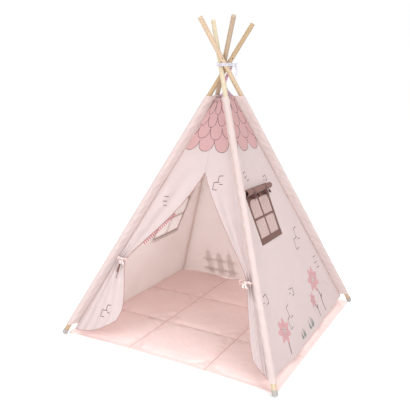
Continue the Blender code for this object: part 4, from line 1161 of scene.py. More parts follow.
# %% [markdown]
# ## Windows
# Each side wall has a window: a net sewn behind the opening, a brown frame with two
# bars in front of it, and a blind of a like brown cloth rolled up above, held by two
# dark ribbons tied in bows. The strips of the frame are sewn down along their edges, so
# they are thickest along their middle. The roll is a spiral, as its ends show.

# %% Nets and frames
NET_LAP, NET_SAG = 0.009, 0.0012
FRAME_CLOTH, SILL_CLOTH, FRAME_OFF = 0.0013, 0.0017, CLOTH / 2 + 0.0002
STRIP_STEP, GUSSET_LEG = 0.006, 0.030
SLANT = slant("right")


def on_wall(wall, x, z, off):
    """Points of a plain wall's own curved surface, x metres from its middle line, and off it."""
    return surface(wall, 0.5 + x / width(wall, z), z, off)


def patch(middle, thickness, x, z):
    """A shell as one part of a piece: points, faces, cloth coordinates and inner-skin flags."""
    points, faces, kind, index = shell(middle, thickness)
    return points, faces, pairs(x, z)[index], kind


def strip(wall, x0, x1, z0, z1, off=FRAME_OFF, thick=FRAME_CLOTH):
    """A flat strip of cloth on a wall between two places, thinner along its sewn edges."""
    nx, nz = (max(7, int(abs(b - a) / STRIP_STEP)) for a, b in ((x0, x1), (z0, z1)))
    u, v = crossed(np.linspace(0, 1, nx), np.linspace(0, 1, nz))
    edge = np.minimum(np.minimum(u, 1 - u) * abs(x1 - x0), np.minimum(v, 1 - v) * abs(z1 - z0))
    puff = thick * (0.45 + 0.55 * np.sqrt(ease(edge / 0.004)))
    x, z = x0 + (x1 - x0) * u, z0 + (z1 - z0) * v
    return patch(on_wall(wall, x, z, off + puff / 2), puff, x, z)


def gusset(wall, x, z, way):
    """The rounded upper corner of the frame: the patch between a corner and a quarter circle."""
    off, thick = FRAME_OFF - 0.0001, 0.0012
    a, s = crossed(np.radians(np.linspace(6, 84, 14)), np.linspace(0, 1, 8))
    arc = circle(a)
    place = arc / (1 + (arc.max(axis=-1, keepdims=True) - 1) * s[..., None])
    px, pz = x - way * GUSSET_LEG * (1 - place[..., 0]), z - GUSSET_LEG * (1 - place[..., 1])
    px, pz = px[::way, ::-1], pz[::way, ::-1]
    return patch(on_wall(wall, px, pz, off + thick / 2), thick, px, pz)


def together(name, parts, stuff, sharp=55):
    """One piece of parts: each (points, faces, cloth coordinates), or these and its material numbers."""
    points, faces = joined([p[:2] for p in parts])
    places = np.concatenate([p[2] for p in parts])
    kinds = np.concatenate([p[3] for p in parts]) if len(parts[0]) > 3 else None
    return piece(name, points, faces, stuff, places, material_of=kinds, sharp=sharp)


for wall in ("right", "left"):
    x0, x1, z0, z1 = opening(wall)
    w = WINDOWS[wall]
    x, z = crossed(np.linspace(x0 - NET_LAP, x1 + NET_LAP, 36), np.linspace(z0 - NET_LAP, z1 + NET_LAP, 32))
    sag = NET_SAG * hump((x - x0) / (x1 - x0)) * hump((z - z0) / (z1 - z0))
    points = on_wall(wall, x, z, -(CLOTH / 2 + 0.0006) - sag).reshape(-1, 3)
    net = piece("window_net_%s_mesh" % wall, points, grid_faces(*x.shape), window_net, pairs(x, z))
    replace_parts(follow(net, wall, 0), "window_net_" + wall)
    on, mx, mz, h = FRAME_OFF, (x0 + x1) / 2, (z0 + z1) / 2, BAR_WIDTH / 2
    parts = [
        strip(wall, w["low"], x0, w["sill"], w["head"]),
        strip(wall, x1, w["high"], w["sill"], w["head"]),
        strip(wall, w["low"], w["high"], z1, w["head"] + 0.012, on + 0.0004),
        strip(wall, w["low"] - 0.002, w["high"] + 0.002, w["sill"] - 0.002, z0, on + 0.0005, SILL_CLOTH),
        strip(wall, mx - h, mx + h, z0 - 0.003, z1 + 0.003, on - 0.0003),
        strip(wall, x0 - 0.003, x1 + 0.003, mz - h, mz + h, on + 0.0002),
        gusset(wall, x1 + 0.001, z1 + 0.001, 1),
        gusset(wall, x0 - 0.001, z1 + 0.001, -1),
    ]
    # its inner side is faced with the lining, so from inside the window shows as a faint outline
    made = together("window_frame_%s_cloth" % wall, parts, [frame_cotton, lining_cotton])
    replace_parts(follow(made, wall, 0), "window_frame_" + wall)

# %% Rolled blinds
BLIND_RADIUS, BLIND_HEADER, BLIND_OVERHANG, BLIND_CLOTH = 0.015, 0.017, 0.012, 0.0018
TIED_AT = (0.24, 0.74)       # shares of the blind's length
TAPE = 0.0010


def tape(path, side, wide, thick=TAPE, scale=1.0, twist=0.0):
    """A woven tape along a path, its width in the side direction; uv runs along it in metres."""
    outline = rounded(wide, thick, 14, 4.0)
    return *sweep(path, outline, side, scale, twist), swept_places(outline[:, 0], run_of(path))


def knot(spot, axes, size):
    """A pulled knot: a rounded block whose middle is squeezed by the turns crossing it."""
    u, v = crossed(np.linspace(0, 2 * np.pi, 24, endpoint=False), np.linspace(0.12, np.pi - 0.12, 13))
    shape = np.stack([np.sin(v) * np.cos(u), np.cos(v), np.sin(v) * np.sin(u)], axis=-1)
    shape = np.sign(shape) * np.abs(shape) ** 0.75
    crease = 1 - 0.13 * bell(np.cos(v) / 0.28) + 0.06 * np.sin(3 * u + 2 * v)
    rings = (shape * crease[..., None] * size).transpose(1, 0, 2) @ np.array(axes) + spot
    points, faces = tube(rings, rings[[0, -1]].mean(axis=1), inward=True)
    return points, faces, points[:, :2]


def bow(spot, along, up, out, loop, wide, tail, size, droop, thick=TAPE, lean=0.0):
    """Two loops and two tails of tape from one knot.

    A loop is a drop: its reach is sin(pi t) to a power, its lift a full wave, and it
    sags and leans out towards its end. The tape turns to show its face at the loop's end.
    """
    t, s = np.linspace(0, 1, 34)[:, None], np.linspace(0, 1, 26)[:, None]
    arch = hump(t)
    parts = []
    for way in (-1, 1):
        reach = size * 0.25 + loop * (1 + 0.08 * way) * arch ** 0.8
        lift = 0.36 * loop * np.sin(2 * np.pi * t) * (0.35 + 0.65 * arch)
        sag = -droop * loop * arch ** 2 + (0.5 - t) * size * 0.8
        path = spot + along * way * reach + up * (lift + sag) + out * 0.14 * loop * arch
        parts.append(tape(path, out + up * 0.45 * arch, wide, thick, 0.62 + 0.38 * arch[:, 0] ** 0.5))
        reach = size * 0.15 + tail * (0.34 + 0.08 * way) * s ** 0.8
        path = spot + along * way * reach - up * (size * 0.4 + tail * 0.92 * s)
        path = path + out * (0.0035 * hump(s) + size * 0.1 - lean * s)
        path = path + along * 0.0018 * np.sin(2 * np.pi * s * 1.4)
        broader = 0.55 + 0.45 * ease(s[:, 0] / 0.3)
        parts.append(tape(path, along + out * 0.5 * np.cos(3.0 * s), wide, thick, broader))
    return parts + [knot(spot, [along, up, out], np.array([size, size * 0.95, size * 0.85]))]


# the path of the cloth in section, as up and out: the header on the wall, then a spiral of 2.4 turns
under = CLOTH / 2 + FIT + WALL_BOW * 0.05
turn = np.radians(np.linspace(-72, 250 + 540, 110))
grow = (turn - turn[0]) / (2 * np.pi)
radius = BLIND_RADIUS - BLIND_CLOTH / 2 - np.maximum(grow - 0.75, 0) * BLIND_CLOTH * 1.45
lift = under + BLIND_RADIUS
spiral = [0, lift] + radius[:, None] * circle(turn)
head = pairs(np.linspace(BLIND_HEADER, spiral[0, 0] + 0.002, 8), under + BLIND_CLOTH / 2)
line = smooth_path(np.vstack([head, spiral]), 120)
run = run_of(line)[::-1]
s = np.linspace(0, 1, 54)[:, None]
for wall in ("right", "left"):
    w = WINDOWS[wall]
    height = w["head"] + FIT + BLIND_RADIUS * 1.25
    both = 0.5 + np.array([w["low"] - BLIND_OVERHANG, w["high"] + BLIND_OVERHANG]) / width(wall, height)
    start, end = wall_point(wall, both, np.array([height, height]))
    out, length = outward(wall, height), np.linalg.norm(end - start)
    along = (end - start) / length
    up = np.cross(out, along)
    squeeze = 1 - 0.16 * sum(bell((s - c) * length / 0.010) for c in TIED_AT)
    soft = squeeze * (1 + 0.03 * np.sin(s * 23 + 1) * np.sin(s * 11))
    # creases run along the roll, and its ends are not quite even
    grid = line[None] - [0, lift]
    wrinkle = 1 + 0.035 * np.sin(7 * np.arctan2(grid[..., 1], grid[..., 0]) + 5 * s)
    rolled = ease((0.020 - line[:, 0]) / 0.012)
    grid = grid * (1 + (soft * wrinkle - 1) * rolled)[..., None] + [0, lift]
    uneven = 0.003 * np.sin(np.linspace(0, 9, 120)) * np.sign(s - 0.5) * np.abs(2 * s - 1) ** 8
    middle = start + along * (s * length + uneven)[..., None] + up * grid[..., :1] + out * grid[..., 1:]
    parts = [patch(middle[:, ::-1], BLIND_CLOTH, s * length, run)[:3]]
    made = together("window_roll_" + wall, parts, roll_cotton, sharp=60)
    print("blind %s: cut from %.3f x %.3f m" % (wall, length, run[0]))
    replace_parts(follow(made, wall, 0), "window_blind_" + wall)
    a, q = np.radians(np.linspace(-60, 245, 48))[:, None], np.radians(146)
    away, hold = up * np.cos(q) + out * np.sin(q), BLIND_RADIUS * 0.90 + 0.0006
    for name, share in zip("ab", TIED_AT):
        place = start + along * length * share
        band = place + up * hold * np.cos(a) + out * (lift + hold * np.sin(a))
        spot = place + out * lift + away * (BLIND_RADIUS * 0.90 + 0.0030)
        parts = [tape(band, along, 0.009)]
        parts += bow(spot, along, up, away, loop=0.027, wide=0.0105, tail=0.040, size=0.0055, droop=0.55,
                     lean=0.006)
        made = together("window_ribbon_%s_%s" % (wall, name), parts, dark_ribbon)
        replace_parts(follow(made, wall, 0), "window_bow_%s_%s" % (wall, name))
print("windows done")

# %% [markdown]
# ## Curtain ties
# A cream tape goes round each gathered curtain and is tied in a bow in front of it. The
# band is an oval about the pleats, sewn into the corner seam at both ends.

# %% Ties
TIE_WIDE, TIE_THICK = 0.010, 0.0011
deep = 0.87 * GATHER_DEPTH + CLOTH * 1.1 + FIT + 0.0006
turn = np.radians(np.linspace(-90, 90, 20))
for half, side in enumerate(("left", "right")):
    z = np.array(CURTAINS[side]["tie"])
    a, b = ends("front", z)
    start, right = (a, b)[half], unit(b - a)
    along, out = right * WAY[side], outward("front", z)
    up = np.cross(out, right)
    wide = CURTAINS[side]["width"] + deep * 0.55 + 0.004
    near = np.linspace(0.0022, wide - deep - 0.004, 8)
    oval = np.vstack([pairs(near, -deep), [wide - deep, 0] + deep * circle(turn), pairs(near[::-1], deep)])
    path = smooth_path(start + along * oval[:, :1] + out * oval[:, 1:], 70)
    clear = wide * 0.50 + POLE_RADIUS * 0.76 if side == "left" else wide * 0.78
    spot = start + along * clear + out * (deep + 0.0052)
    parts = [tape(path, up, TIE_WIDE, TIE_THICK)]
    parts += bow(spot, right, up, out, loop=0.028, wide=0.0085, tail=0.028, size=0.0055, droop=0.22,
                 thick=TIE_THICK)
    made = together("curtain_ribbon_" + side, parts, ribbon_cotton)
    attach(made, WALLS["front"][half]["body"])
    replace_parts(made, "door_tie_" + side)
print("ties done")

# %% [markdown]
# ## Picot edging
# A narrow rose edging is sewn behind the left curtain's open edge: a tape with a row of
# small loops, and each loop ends in a round stitch like a bead.

# %% Edging
PITCH = 0.013                # from one loop to the next
TAPE_LEAST, LOOP_DEEP, SEWN_UNDER = 0.0016, 0.0064, 0.004
EDGING_THICK, EDGING_BEHIND = 0.0009, 0.0012
BEAD, BEAD_OUT, BEAD_BEHIND = np.array([0.0034, 0.0036, 0.0024]), 0.0108, 0.0026
v = np.linspace(0.400, 0.540, 160)
edge = smooth_path(curtain("left", np.ones_like(v), v)[0], 220)
way = unit(np.gradient(edge, axis=0))
out = outward("front", edge[:, 2])
free = np.cross(way, out)
run = run_of(edge)
s = np.linspace(0, 1, 7)
scallop = TAPE_LEAST + LOOP_DEEP * np.abs(hump(run / PITCH)) ** 5
across = -SEWN_UNDER + (SEWN_UNDER + scallop[:, None]) * s
behind = (CLOTH / 2 + EDGING_BEHIND) + 0.0010 * s + 0.0006 * hump(run / PITCH)[:, None] * s
grid = edge[:, None] + free[:, None] * across[..., None] - out[:, None] * behind[..., None]
points, faces, places, _ = patch(grid[::-1], EDGING_THICK, across[::-1], run[::-1, None])
parts = [(points, faces, places, np.zeros(len(faces)))]
beads = np.arange(PITCH / 2, run[-1], PITCH)
for bead, place in zip(beads, at_runs(edge, beads)):
    k = int(np.argmin(np.abs(run - bead)))
    spot = place + free[k] * BEAD_OUT - out[k] * BEAD_BEHIND
    points, faces, places = knot(spot, [way[k], free[k], out[k]], BEAD)
    parts.append((points, faces, places, np.ones(len(faces))))
made = together("curtain_edging_left", parts, [edging_cotton_and_fold_shade, bead_cotton])
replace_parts(follow(made, "front", 0), "door_trim_left")
print("edging: %.3f m long, %d beads" % (run[-1], len(beads)))

# %% Bound edges of the curtains
ROLL_WIDE, ROLL_THICK = CLOTH + 0.0020, 0.0026
TURNED_AT, TURNED_REACH = 0.50, 0.055
for half, side in enumerate(("left", "right")):
    v, u = np.linspace(SLIT_V - 0.002, 0, 260), np.linspace(1, 0.02, 120)[1:]
    line = np.vstack([curtain(side, np.ones_like(v), v)[0], curtain(side, u, np.zeros_like(u))[0]])
    line = smooth_path(line[::2], 420)
    # the left edge is turned over twice above its tie, and its binding is widened there to paint the fold's
    # shade as a dark band
    wider = 1 + 0.7 * bell((line[:, 2] - TURNED_AT) / TURNED_REACH) * (side == "left")
    parts = [tape(line, outward("front", line[:, 2]), ROLL_WIDE, ROLL_THICK, wider)]
    made = together("curtain_binding_" + side, parts, binding_cotton_and_fold_shade, sharp=60)
    follow(made, "front", half)

# %% [markdown]
# ## Prints
# The cover is printed like a little house: scalloped roof tiles round the top, strokes
# that hint at bricks, flowers and grass on the right wall, and a fence on the back. An
# ink film follows every wave of the cloth, so each print is a thin skin laid on the
# wall's own grid, at least a quarter of a millimetre off it, and it is drawn in metres.

# %% Laying ink on cloth
# widths of the drawn strokes
PENS = dict(tile=0.0026, brick=0.0034, heart=0.0022, petal=0.0016, stem=0.0064, curl=0.005, pale=0.0024,
            rail=0.0022)


def stroke(line, wide, taper=0.35):
    """Left and right edge of a pen stroke along a line of flat points, thinner at its ends."""
    line = np.asarray(line, float)
    way = unit(np.gradient(line, axis=0))
    side = np.stack([-way[:, 1], way[:, 0]], axis=1)
    t = np.linspace(0, 1, len(line))
    half = wide / 2 * (1 - taper * (1 - hump(t) ** 0.35))[:, None]
    return np.stack([line - side * half, line + side * half], axis=0)


def inked(panel, patches, off, inside=False):
    """Flat patches (grids of x, z in metres) laid on a panel; patches on its inner side face inwards."""
    place = place_on_curtain if panel["wall"] == "front" else place_on_plain
    parts = []
    for flat in patches:
        i, j = place(panel, flat[..., 0], flat[..., 1])
        points = lifted(panel, i, j, off, inside)
        # a patch drawn the other way round is turned, so that every one faces out of the cloth
        normal = np.cross(points[-1, 0] - points[0, 0], points[0, -1] - points[0, 0])
        centre = np.clip([i.mean(), j.mean()], 0, np.array(panel["normal"].shape[:2]) - 1).astype(int)
        if (normal @ panel["normal"][tuple(centre)] < 0) != inside:
            points, flat = points[::-1], flat[::-1]
        parts.append((points.reshape(-1, 3), grid_faces(*points.shape[:2]), flat.reshape(-1, 2)))
    return parts


def print_piece(name, panel, wall, half, layers):
    """One printed piece: layers of (patches, material, height off the cloth), and True for the inner side."""
    parts = []
    for slot, (patches, _, off, *inside) in enumerate(layers):
        laid = inked(panel, patches, off, bool(inside))
        parts += [(*part, np.full(len(part[1]), slot)) for part in laid]
    return follow(together(name, parts, [layer[1] for layer in layers], sharp=40), wall, half)


def polyline(points, step=0.004):
    """A line through corner points, in small even steps."""
    q = np.asarray(points, float)
    length = run_of(q)[-1]
    return at_runs(q, np.linspace(0, length, max(5, int(length / step))))


# %% Roof tiles
TILE_ROWS = np.array([0.966, 1.028, 1.090, 1.152, 1.212])
TILES_ACROSS = 2.8
TILE_DEEP = 0.058
TILE_SHIFT = 0.3             # the lowest row's, as a share of a tile
PEAK_BAND, PEAK_WAVE = 0.034, 0.012
SHORT = 0.001                # prints end this far from an edge


def tile_edge(t):
    """Height of a tile's lower edge over its lowest point, t from -1 to 1: a deep U."""
    return TILE_DEEP * (1 - (1 - np.abs(t) ** 2.3) ** 0.55)


def roof_patches(wall, low_share, high_share):
    """The rose field and the outlines of the tiles between two shares of a wall's width."""
    s = np.linspace(low_share, high_share, 200)[:, None]
    low = TILE_ROWS[0] + tile_edge(2 * ((s * TILES_ACROSS + TILE_SHIFT) % 1) - 1) + SHORT
    field = flat_place(wall, s, low + (top_line(wall, s) - SHORT - low) * np.linspace(0, 1, 34))
    lines = []
    t = np.sin(np.linspace(-np.pi / 2, np.pi / 2, 64))
    for row, base in enumerate(TILE_ROWS):
        shift = TILE_SHIFT + 0.5 * (row % 2) + 0.04 * np.sin(5.0 * row)
        for k in range(-1, int(TILES_ACROSS) + 3):
            s = (k + 0.5 - shift + t / 2) / TILES_ACROSS
            # no two tiles are drawn quite alike
            drop = 0.004 * np.sin(3.1 * k + 2.3 * row) if row else 0
            deep = 1 - 0.08 * np.sin(2.0 * k + row)
            z = base + tile_edge(np.clip(t, -0.999, 0.999)) * deep - drop
            use = (s >= low_share) & (s <= high_share) & (z < top_line(wall, s) - 2 * SHORT)
            if use.sum() > 5:
                lines.append(stroke(smooth_path(flat_place(wall, s[use], z[use]), 40), PENS["tile"], 0.2))
    return [field], lines


# %% Bricks, flowers, grass and fence
def bricks(x, z, shape, size=1.0, tilt=0.0):
    """A few strokes round a missing brick; shape gives lines as steps of (x, z) in millimetres."""
    turn = np.array([[np.cos(tilt), -np.sin(tilt)], [np.sin(tilt), np.cos(tilt)]])
    return [stroke(polyline(np.array(line) * size / 1000 @ turn.T + [x, z]), PENS["brick"]) for line in shape]


CORNER_BRICK = [[(-30, -34), (-4, -34)], [(-30, -34), (-27, 2), (8, 3)], [(-2, 2), (1, 34), (26, 36)],
                [(6, -6), (30, -8)]]
OPEN_BRICK = [[(-24, 14), (10, 15)], [(10, 15), (12, -12)], [(12, -12), (-8, -13)], [(-30, -2), (-16, -1)]]
THREE_DASHES = [[(-16, 24), (16, 23)], [(-22, 0), (12, -1)], [(-10, -22), (18, -24)]]


def petal(x, z, turn, long, wide, bend=0.0):
    """A petal or leaf as a patch: its half width is a sine of the way along it, run to a power."""
    s, q = crossed(np.linspace(0.02, 0.98, 14), np.linspace(-1, 1, 5))
    along = s * long
    across = q * wide / 2 * hump(s ** 0.8) ** 0.7 + bend * long * hump(s)
    cos, sin = np.cos(turn), np.sin(turn)
    return np.stack([x + along * cos - across * sin, z + along * sin + across * cos], axis=-1)


def flower(x, z, size, petals=7, turn=0.3):
    """A generic flower head: even petals round an open middle, and its lines."""
    angles = turn + 2 * np.pi * np.arange(petals) / petals
    hearts = [x, z] + 0.20 * size * circle(angles)
    fill = [petal(*heart, a, 0.84 * size, 0.50 * size) for heart, a in zip(hearts, angles)]
    line = [stroke([x, z] + 0.15 * size * circle(np.linspace(0, 2 * np.pi, 20)), PENS["heart"], 0.0)]
    reach = np.linspace(0.30, 0.62, 8)[:, None] * size
    line += [stroke([x, z] + reach * circle(a), PENS["petal"]) for a in angles + np.pi / petals]
    return fill, line


def tuft(x, z, tall, blades=7):
    """Blades of grass that fan out of one point and bend over."""
    turns = np.pi / 2 + np.linspace(0.85, -0.85, blades)
    lengths = tall * (0.72 + 0.28 * np.cos(np.linspace(-2.6, 2.2, blades)))
    return [petal(x + 0.0035 * (k - blades / 2), z, t, l, 0.0075, -0.16 * np.sign(np.cos(t)))
            for k, (t, l) in enumerate(zip(turns, lengths))]


def fence():
    """Rails and pointed pales as fields, and the outlines of both."""
    low, high, half_pale, half_rail, pointed = 0.028, 0.215, 0.019, 0.0085, 0.030
    start, end = 0.125, 0.382
    pales, rails, outline = [], [], []
    for k, x in enumerate((0.332, 0.252, 0.172)):
        tall = high - 0.006 * (k % 2)
        q, s = crossed(np.linspace(-1, 1, 5), np.linspace(0, 1, 24))
        z = low + (tall - low) * s
        pales.append(np.stack([x + half_pale * q * np.clip((tall - z) / pointed, 0.04, 1), z], axis=-1))
        left, right, foot, shoulder = x - half_pale, x + half_pale, 0.030, tall - pointed
        edge = [(left, foot), (left, shoulder), (x, tall), (right, shoulder), (right, foot)]
        outline.append(stroke(polyline(edge), PENS["pale"], 0.1))
    for z in (0.062, 0.140):
        s, q = crossed(np.linspace(start, end, 60), np.linspace(-1, 1, 3))
        rails.append(np.stack([s, z + half_rail * q], axis=-1))
        edges = [(start, z - half_rail), (end, z - half_rail)], [(start, z + half_rail), (end, z + half_rail)]
        outline += [stroke(polyline(edge), PENS["rail"], 0.1) for edge in edges]
    return pales, rails, outline


INK = 0.00025                # height of an ink film over the cloth
# strokes of brick: x, z, shape, size and tilt
MARKS = {
    ("right", 0): [(-0.105, 0.848, THREE_DASHES, 0.9, 0.35), (-0.335, 0.318, OPEN_BRICK, 1.5, 0.1),
                   (-0.165, 0.178, CORNER_BRICK, 1.35, 0.1), (-0.045, 0.262, OPEN_BRICK, 1.2, -0.1)],
    ("right", 1): [(0.085, 0.812, OPEN_BRICK, 0.95, 0.2), (0.215, 0.470, CORNER_BRICK, 1.45, 0.05),
                   (0.36, 0.300, THREE_DASHES, 1.3, 0.0)],
    ("back", 0): [(-0.22, 0.560, CORNER_BRICK, 1.3, 0.0), (-0.12, 0.860, THREE_DASHES, 1.0, 0.0),
                  (-0.26, 0.200, THREE_DASHES, 1.3, 0.0)],
    ("back", 1): [(0.20, 0.700, OPEN_BRICK, 1.3, 0.0), (0.24, 0.400, CORNER_BRICK, 1.3, 0.0)],
    ("left", 0): [(-0.24, 0.300, CORNER_BRICK, 1.3, 0.0), (-0.16, 0.800, THREE_DASHES, 1.0, 0.0)],
    ("left", 1): [(0.20, 0.690, OPEN_BRICK, 1.2, 0.0), (0.33, 0.240, CORNER_BRICK, 1.3, 0.0),
                  (0.06, 0.260, THREE_DASHES, 1.2, 0.0)],
    ("front", 0): [(-0.185, 0.705, THREE_DASHES, 0.95, 0.05), (-0.375, 0.145, CORNER_BRICK, 0.85, 0.0)],
    ("front", 1): [(0.098, 0.822, CORNER_BRICK, 0.95, 0.05)],
}
# flowers of the right wall's halves: x, z, size, and x and z of the stem's foot
FLOWERS = [(-0.270, 0.150, 0.058, -0.285, 0.046)], [(0.250, 0.236, 0.068, 0.285, 0.052),
                                                    (0.165, 0.150, 0.040, 0.200, 0.050)]
TUFTS = (-0.085, 0.046, 0.045), (0.044, 0.048, 0.058)
for (wall, half), strokes in MARKS.items():
    split = DOOR_SPLIT if wall == "front" else 0.5
    low, high = ((0.03, split), (split, 0.97))[half]
    panel = panels["front_" + ("left", "right")[half]] if wall == "front" else panels[wall]
    field, lines = roof_patches(wall, low, high)
    for mark in strokes:
        lines += bricks(*mark)
    layers = [(field, ink_roof, INK), (lines, ink_line, 2 * INK)]
    if wall == "right":
        heads, drawn, stalks = [], [], []
        for x, z, size, foot_x, foot_z in FLOWERS[half]:
            fill, line = flower(x, z, size)
            heads += fill
            drawn += line
            bent = ((x + foot_x) / 2 + 0.008, (z + foot_z) / 2)
            stem = smooth_path([(x, z - 0.20 * size), bent, (foot_x, foot_z)], 26)
            stalks += [stroke(stem, PENS["stem"], 0.3), petal(*stem[15], 0.9, 0.030, 0.010, 0.12)]
        layers += [(tuft(*TUFTS[half]), ink_green, INK), (heads, ink_rose, 1.5 * INK),
                   (drawn, ink_line, 2.2 * INK), (stalks, ink_dark, INK)]
    if (wall, half) == ("front", 0):
        # a small leaf and a curl on the curtain, under its tie
        a = np.linspace(0, 4.4, 40)
        curl = [-0.362, 0.318] + (0.004 + 0.0024 * a)[:, None] * circle(a)
        leaf = petal(-0.369, 0.328, 1.35, 0.050, 0.036, 0.1)
        layers += [([leaf, stroke(curl, PENS["curl"], 0.2)], ink_brown, INK)]
    if (wall, half) == ("back", 1):
        pales, rails, outline = fence()
        layers += [(rails, ink_grey, INK), (pales, ink_grey, 1.6 * INK), (outline, ink_line, 2.4 * INK)]
        # a faint copy of the fence is laid on the lining: painted shadow of the print, as light through the
        # cloth shows it
        layers += [(rails, ink_painted_print_shadow, INK, True), (pales, ink_painted_print_shadow, 1.6 * INK, True)]
    if wall == "back":
        # the very peak is coloured lilac on both of its sides: painted shade, the rose print as it looks in
        # shade
        s = np.linspace(low, high, 60)[:, None]
        foot = COVER_TOP - PEAK_BAND - PEAK_WAVE * np.cos((s - 0.5) * 30)
        peak = [flat_place(wall, s, foot + (top_line(wall, s) - SHORT - foot) * np.linspace(0, 1, 12))]
        layers += [(peak, ink_peak_painted_shade, 1.6 * INK), (peak, ink_peak_painted_shade, INK, True)]
    made = print_piece("print_%s_%s" % (wall, ("first", "second")[half]), panel, wall, half, layers)
print("prints done")

# %% [markdown]
# ## Lashing
# A white twisted cord holds the four poles where they pass. It winds round them three
# times and is tied in a bow. Three strands make the cord, so its outline is three lobes
# that turn as they go. The turns lie on the outline that the four poles reach at any
# stage of folding, so no pole presses through them.

# %% Cord
CORD, TURNS, RISE = 0.005, 3, 0.0056
LAY = 0.014                  # length in which the strands turn once round
CLEAR = 0.0005               # between the cord and the poles
FOLD = 26                    # degrees, where the poles' joints end
KNOT = 0.0105
LOOP, TAIL, SPREAD = 0.052, 0.045, 0.021
lobes = np.linspace(0, 2 * np.pi, 18, endpoint=False)
strands = circle(lobes) * (0.90 + 0.10 * np.cos(3 * lobes))[:, None] * CORD / 2


def rope(path, scale=1.0):
    """A three-strand cord along a path."""
    run = run_of(path)
    points, faces = sweep(path, strands, UP + [0.02, 0.03, 0], scale, 2 * np.pi * run / LAY)
    return points, faces, swept_places(lobes * CORD / 2, run)


folds = np.radians(np.linspace(0, FOLD, 6))[:, None, None]
levels = np.array([-1, 0, 1])[:, None] * (TURNS * RISE / 2 + CORD)
ring = np.linspace(0, 2 * np.pi, 48, endpoint=False)
spots = []
for pole in poles.values():
    lean = np.tan(np.arctan(pole["tan"]) - folds)
    inward = unit(pole["along"][:2])
    side = np.array([-inward[1], inward[0]])
    reach = (levels * lean + POLE_RADIUS * np.hypot(1, lean) * np.cos(ring))[..., None]
    reached = pole["passing"][:2] + inward * reach + side * POLE_RADIUS * np.sin(ring)[:, None]
    spots.append(reached.reshape(-1, 2))
spots = np.concatenate(spots)
pass_height = float(poles["front_left"]["passing"][2])


def taut(angle, more=0.0):
    """Where a tight cord lies: the furthest of all spots in each direction, and out by its radius."""
    n = circle(angle)
    return spots[np.argmax(n @ spots.T, axis=-1)] + n * (CORD / 2 + CLEAR + more)


begin, kept_free = np.radians([29, 13])
angle = np.linspace(begin + kept_free, begin + 2 * np.pi * TURNS - kept_free, 420)
wound = np.column_stack([taut(angle), pass_height + np.linspace(-0.5, 0.5, 420) * TURNS * RISE])
n = circle(begin)
across = np.array([-n[1], n[0]])
near, face = taut(begin, CORD * 1.15), taut(begin, CORD * 1.7)
# both ends of the winding leave it for the knot
lead = [np.array([[*(face + across * way * KNOT * 0.3), pass_height + (h - pass_height) * 0.54],
                  [*(near + across * way * KNOT * 0.5), h + (pass_height - h) * 0.06]])
        for way, h in ((1, wound[0, 2]), (-1, wound[-1, 2]))]
path = smooth_path(np.vstack([lead[0], wound[::6], wound[-1:], lead[1][::-1]]), 900)
lashing = together("lashing_rope", [rope(path)], cord_cotton_painted_shade)
route, length = path.tolist(), float(run_of(path)[-1])
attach(lashing, "cover")
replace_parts(lashing, "lashing_cord")
print("lashing: %.3f m of cord" % length)

spot = np.array([*(face + n * (KNOT * 0.84 + FIT)), pass_height])
side, out = np.array([*across, 0.0]), np.array([*n, 0.0])
t = np.linspace(0, 1, 60)[:, None]
arch = hump(t)
parts = []
for way in (-1, 1):
    lift = 0.34 * LOOP * np.sin(2 * np.pi * t) * (0.35 + 0.65 * arch) - 0.22 * LOOP * arch ** 2
    path = spot + side * way * (KNOT * 0.25 + LOOP * arch ** 0.8) + UP * (lift + (0.5 - t) * KNOT * 0.9)
    parts.append(rope(path + out * 0.0042 * arch, 1.05))
    path = spot + side * way * (KNOT * 0.15 + SPREAD * t ** 0.8) - UP * (KNOT * 0.62 + TAIL * t)
    parts.append(rope(path + out * (0.004 * arch + KNOT * 0.1), 1.0 + 0.25 * ease((t[:, 0] - 0.9) / 0.1)))
# the knot is one more turn of cord round the four that meet in it
a, wrap = np.linspace(0.4, 2 * np.pi + 2.0, 70)[:, None], 0.0062
turn = spot + UP * wrap * np.cos(a) + out * wrap * np.sin(a) + side * (0.0026 * (a - a.mean()) / np.pi)
parts += [rope(turn, 0.95), knot(spot, [side, UP, out], np.array([0.0058, 0.0060, 0.0058]))]
made = together("lashing_bow_rope", parts, cord_cotton_painted_shade)
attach(made, "cover")
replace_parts(made, "lashing_bow")

# %% [markdown]
# ## Hanging strap
# The back wall rises to a peak, and a short strap sewn there holds the cover up at the
# lashing. Its lilac is painted shade: the rose cloth as it looks in shade. It is a flat
# tape, folded double and stitched, so its edges are round.

# %% Strap
STRAP_WIDE, STRAP_THICK = 0.022, 0.0014
angle = np.radians(75)
end = np.array([*taut(angle, -CLEAR), pass_height - TURNS * RISE / 2 - CORD / 2 - FIT * 4])
panel, k = panels["back"], panels["back"]["split"]
peak = panel["points"][k, -1] + UP * 0.0022
# it is sewn to the outer side of the peak and goes over it
off = panel["normal"][k, -4] * (CLOTH / 2 + 0.0016)
way = [panel["points"][k, -1] - UP * x + off for x in (0.016, 0.006)]
way += [peak + (end - peak) * [x, x, z] for x, z in ((0, 0), (0.22, 0.35), (0.62, 0.70), (1, 1))]
n = np.array([*circle(angle), 0.0])
narrower = 0.8 + 0.2 * hump(np.linspace(0, 1, 60))
parts = [tape(smooth_path(way, 60), np.cross(n, UP), STRAP_WIDE, STRAP_THICK, narrower)]
made = together("hanging_strap_tape", parts, strap_cotton_painted_shade)
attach(made, "cover")
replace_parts(made, "hanging_strap")

# %% [markdown]
# ## Quilted mat
# The mat is two sheets of cotton with thin wadding between them, bound round the edge
# and quilted into nine fields. Each field swells between its seams, and the spare cloth
# puckers along them. That swelling is what cloth simulation is good at: the seams and
# the underside are pinned, air pressure lifts the rest, and the cloth may grow a little.

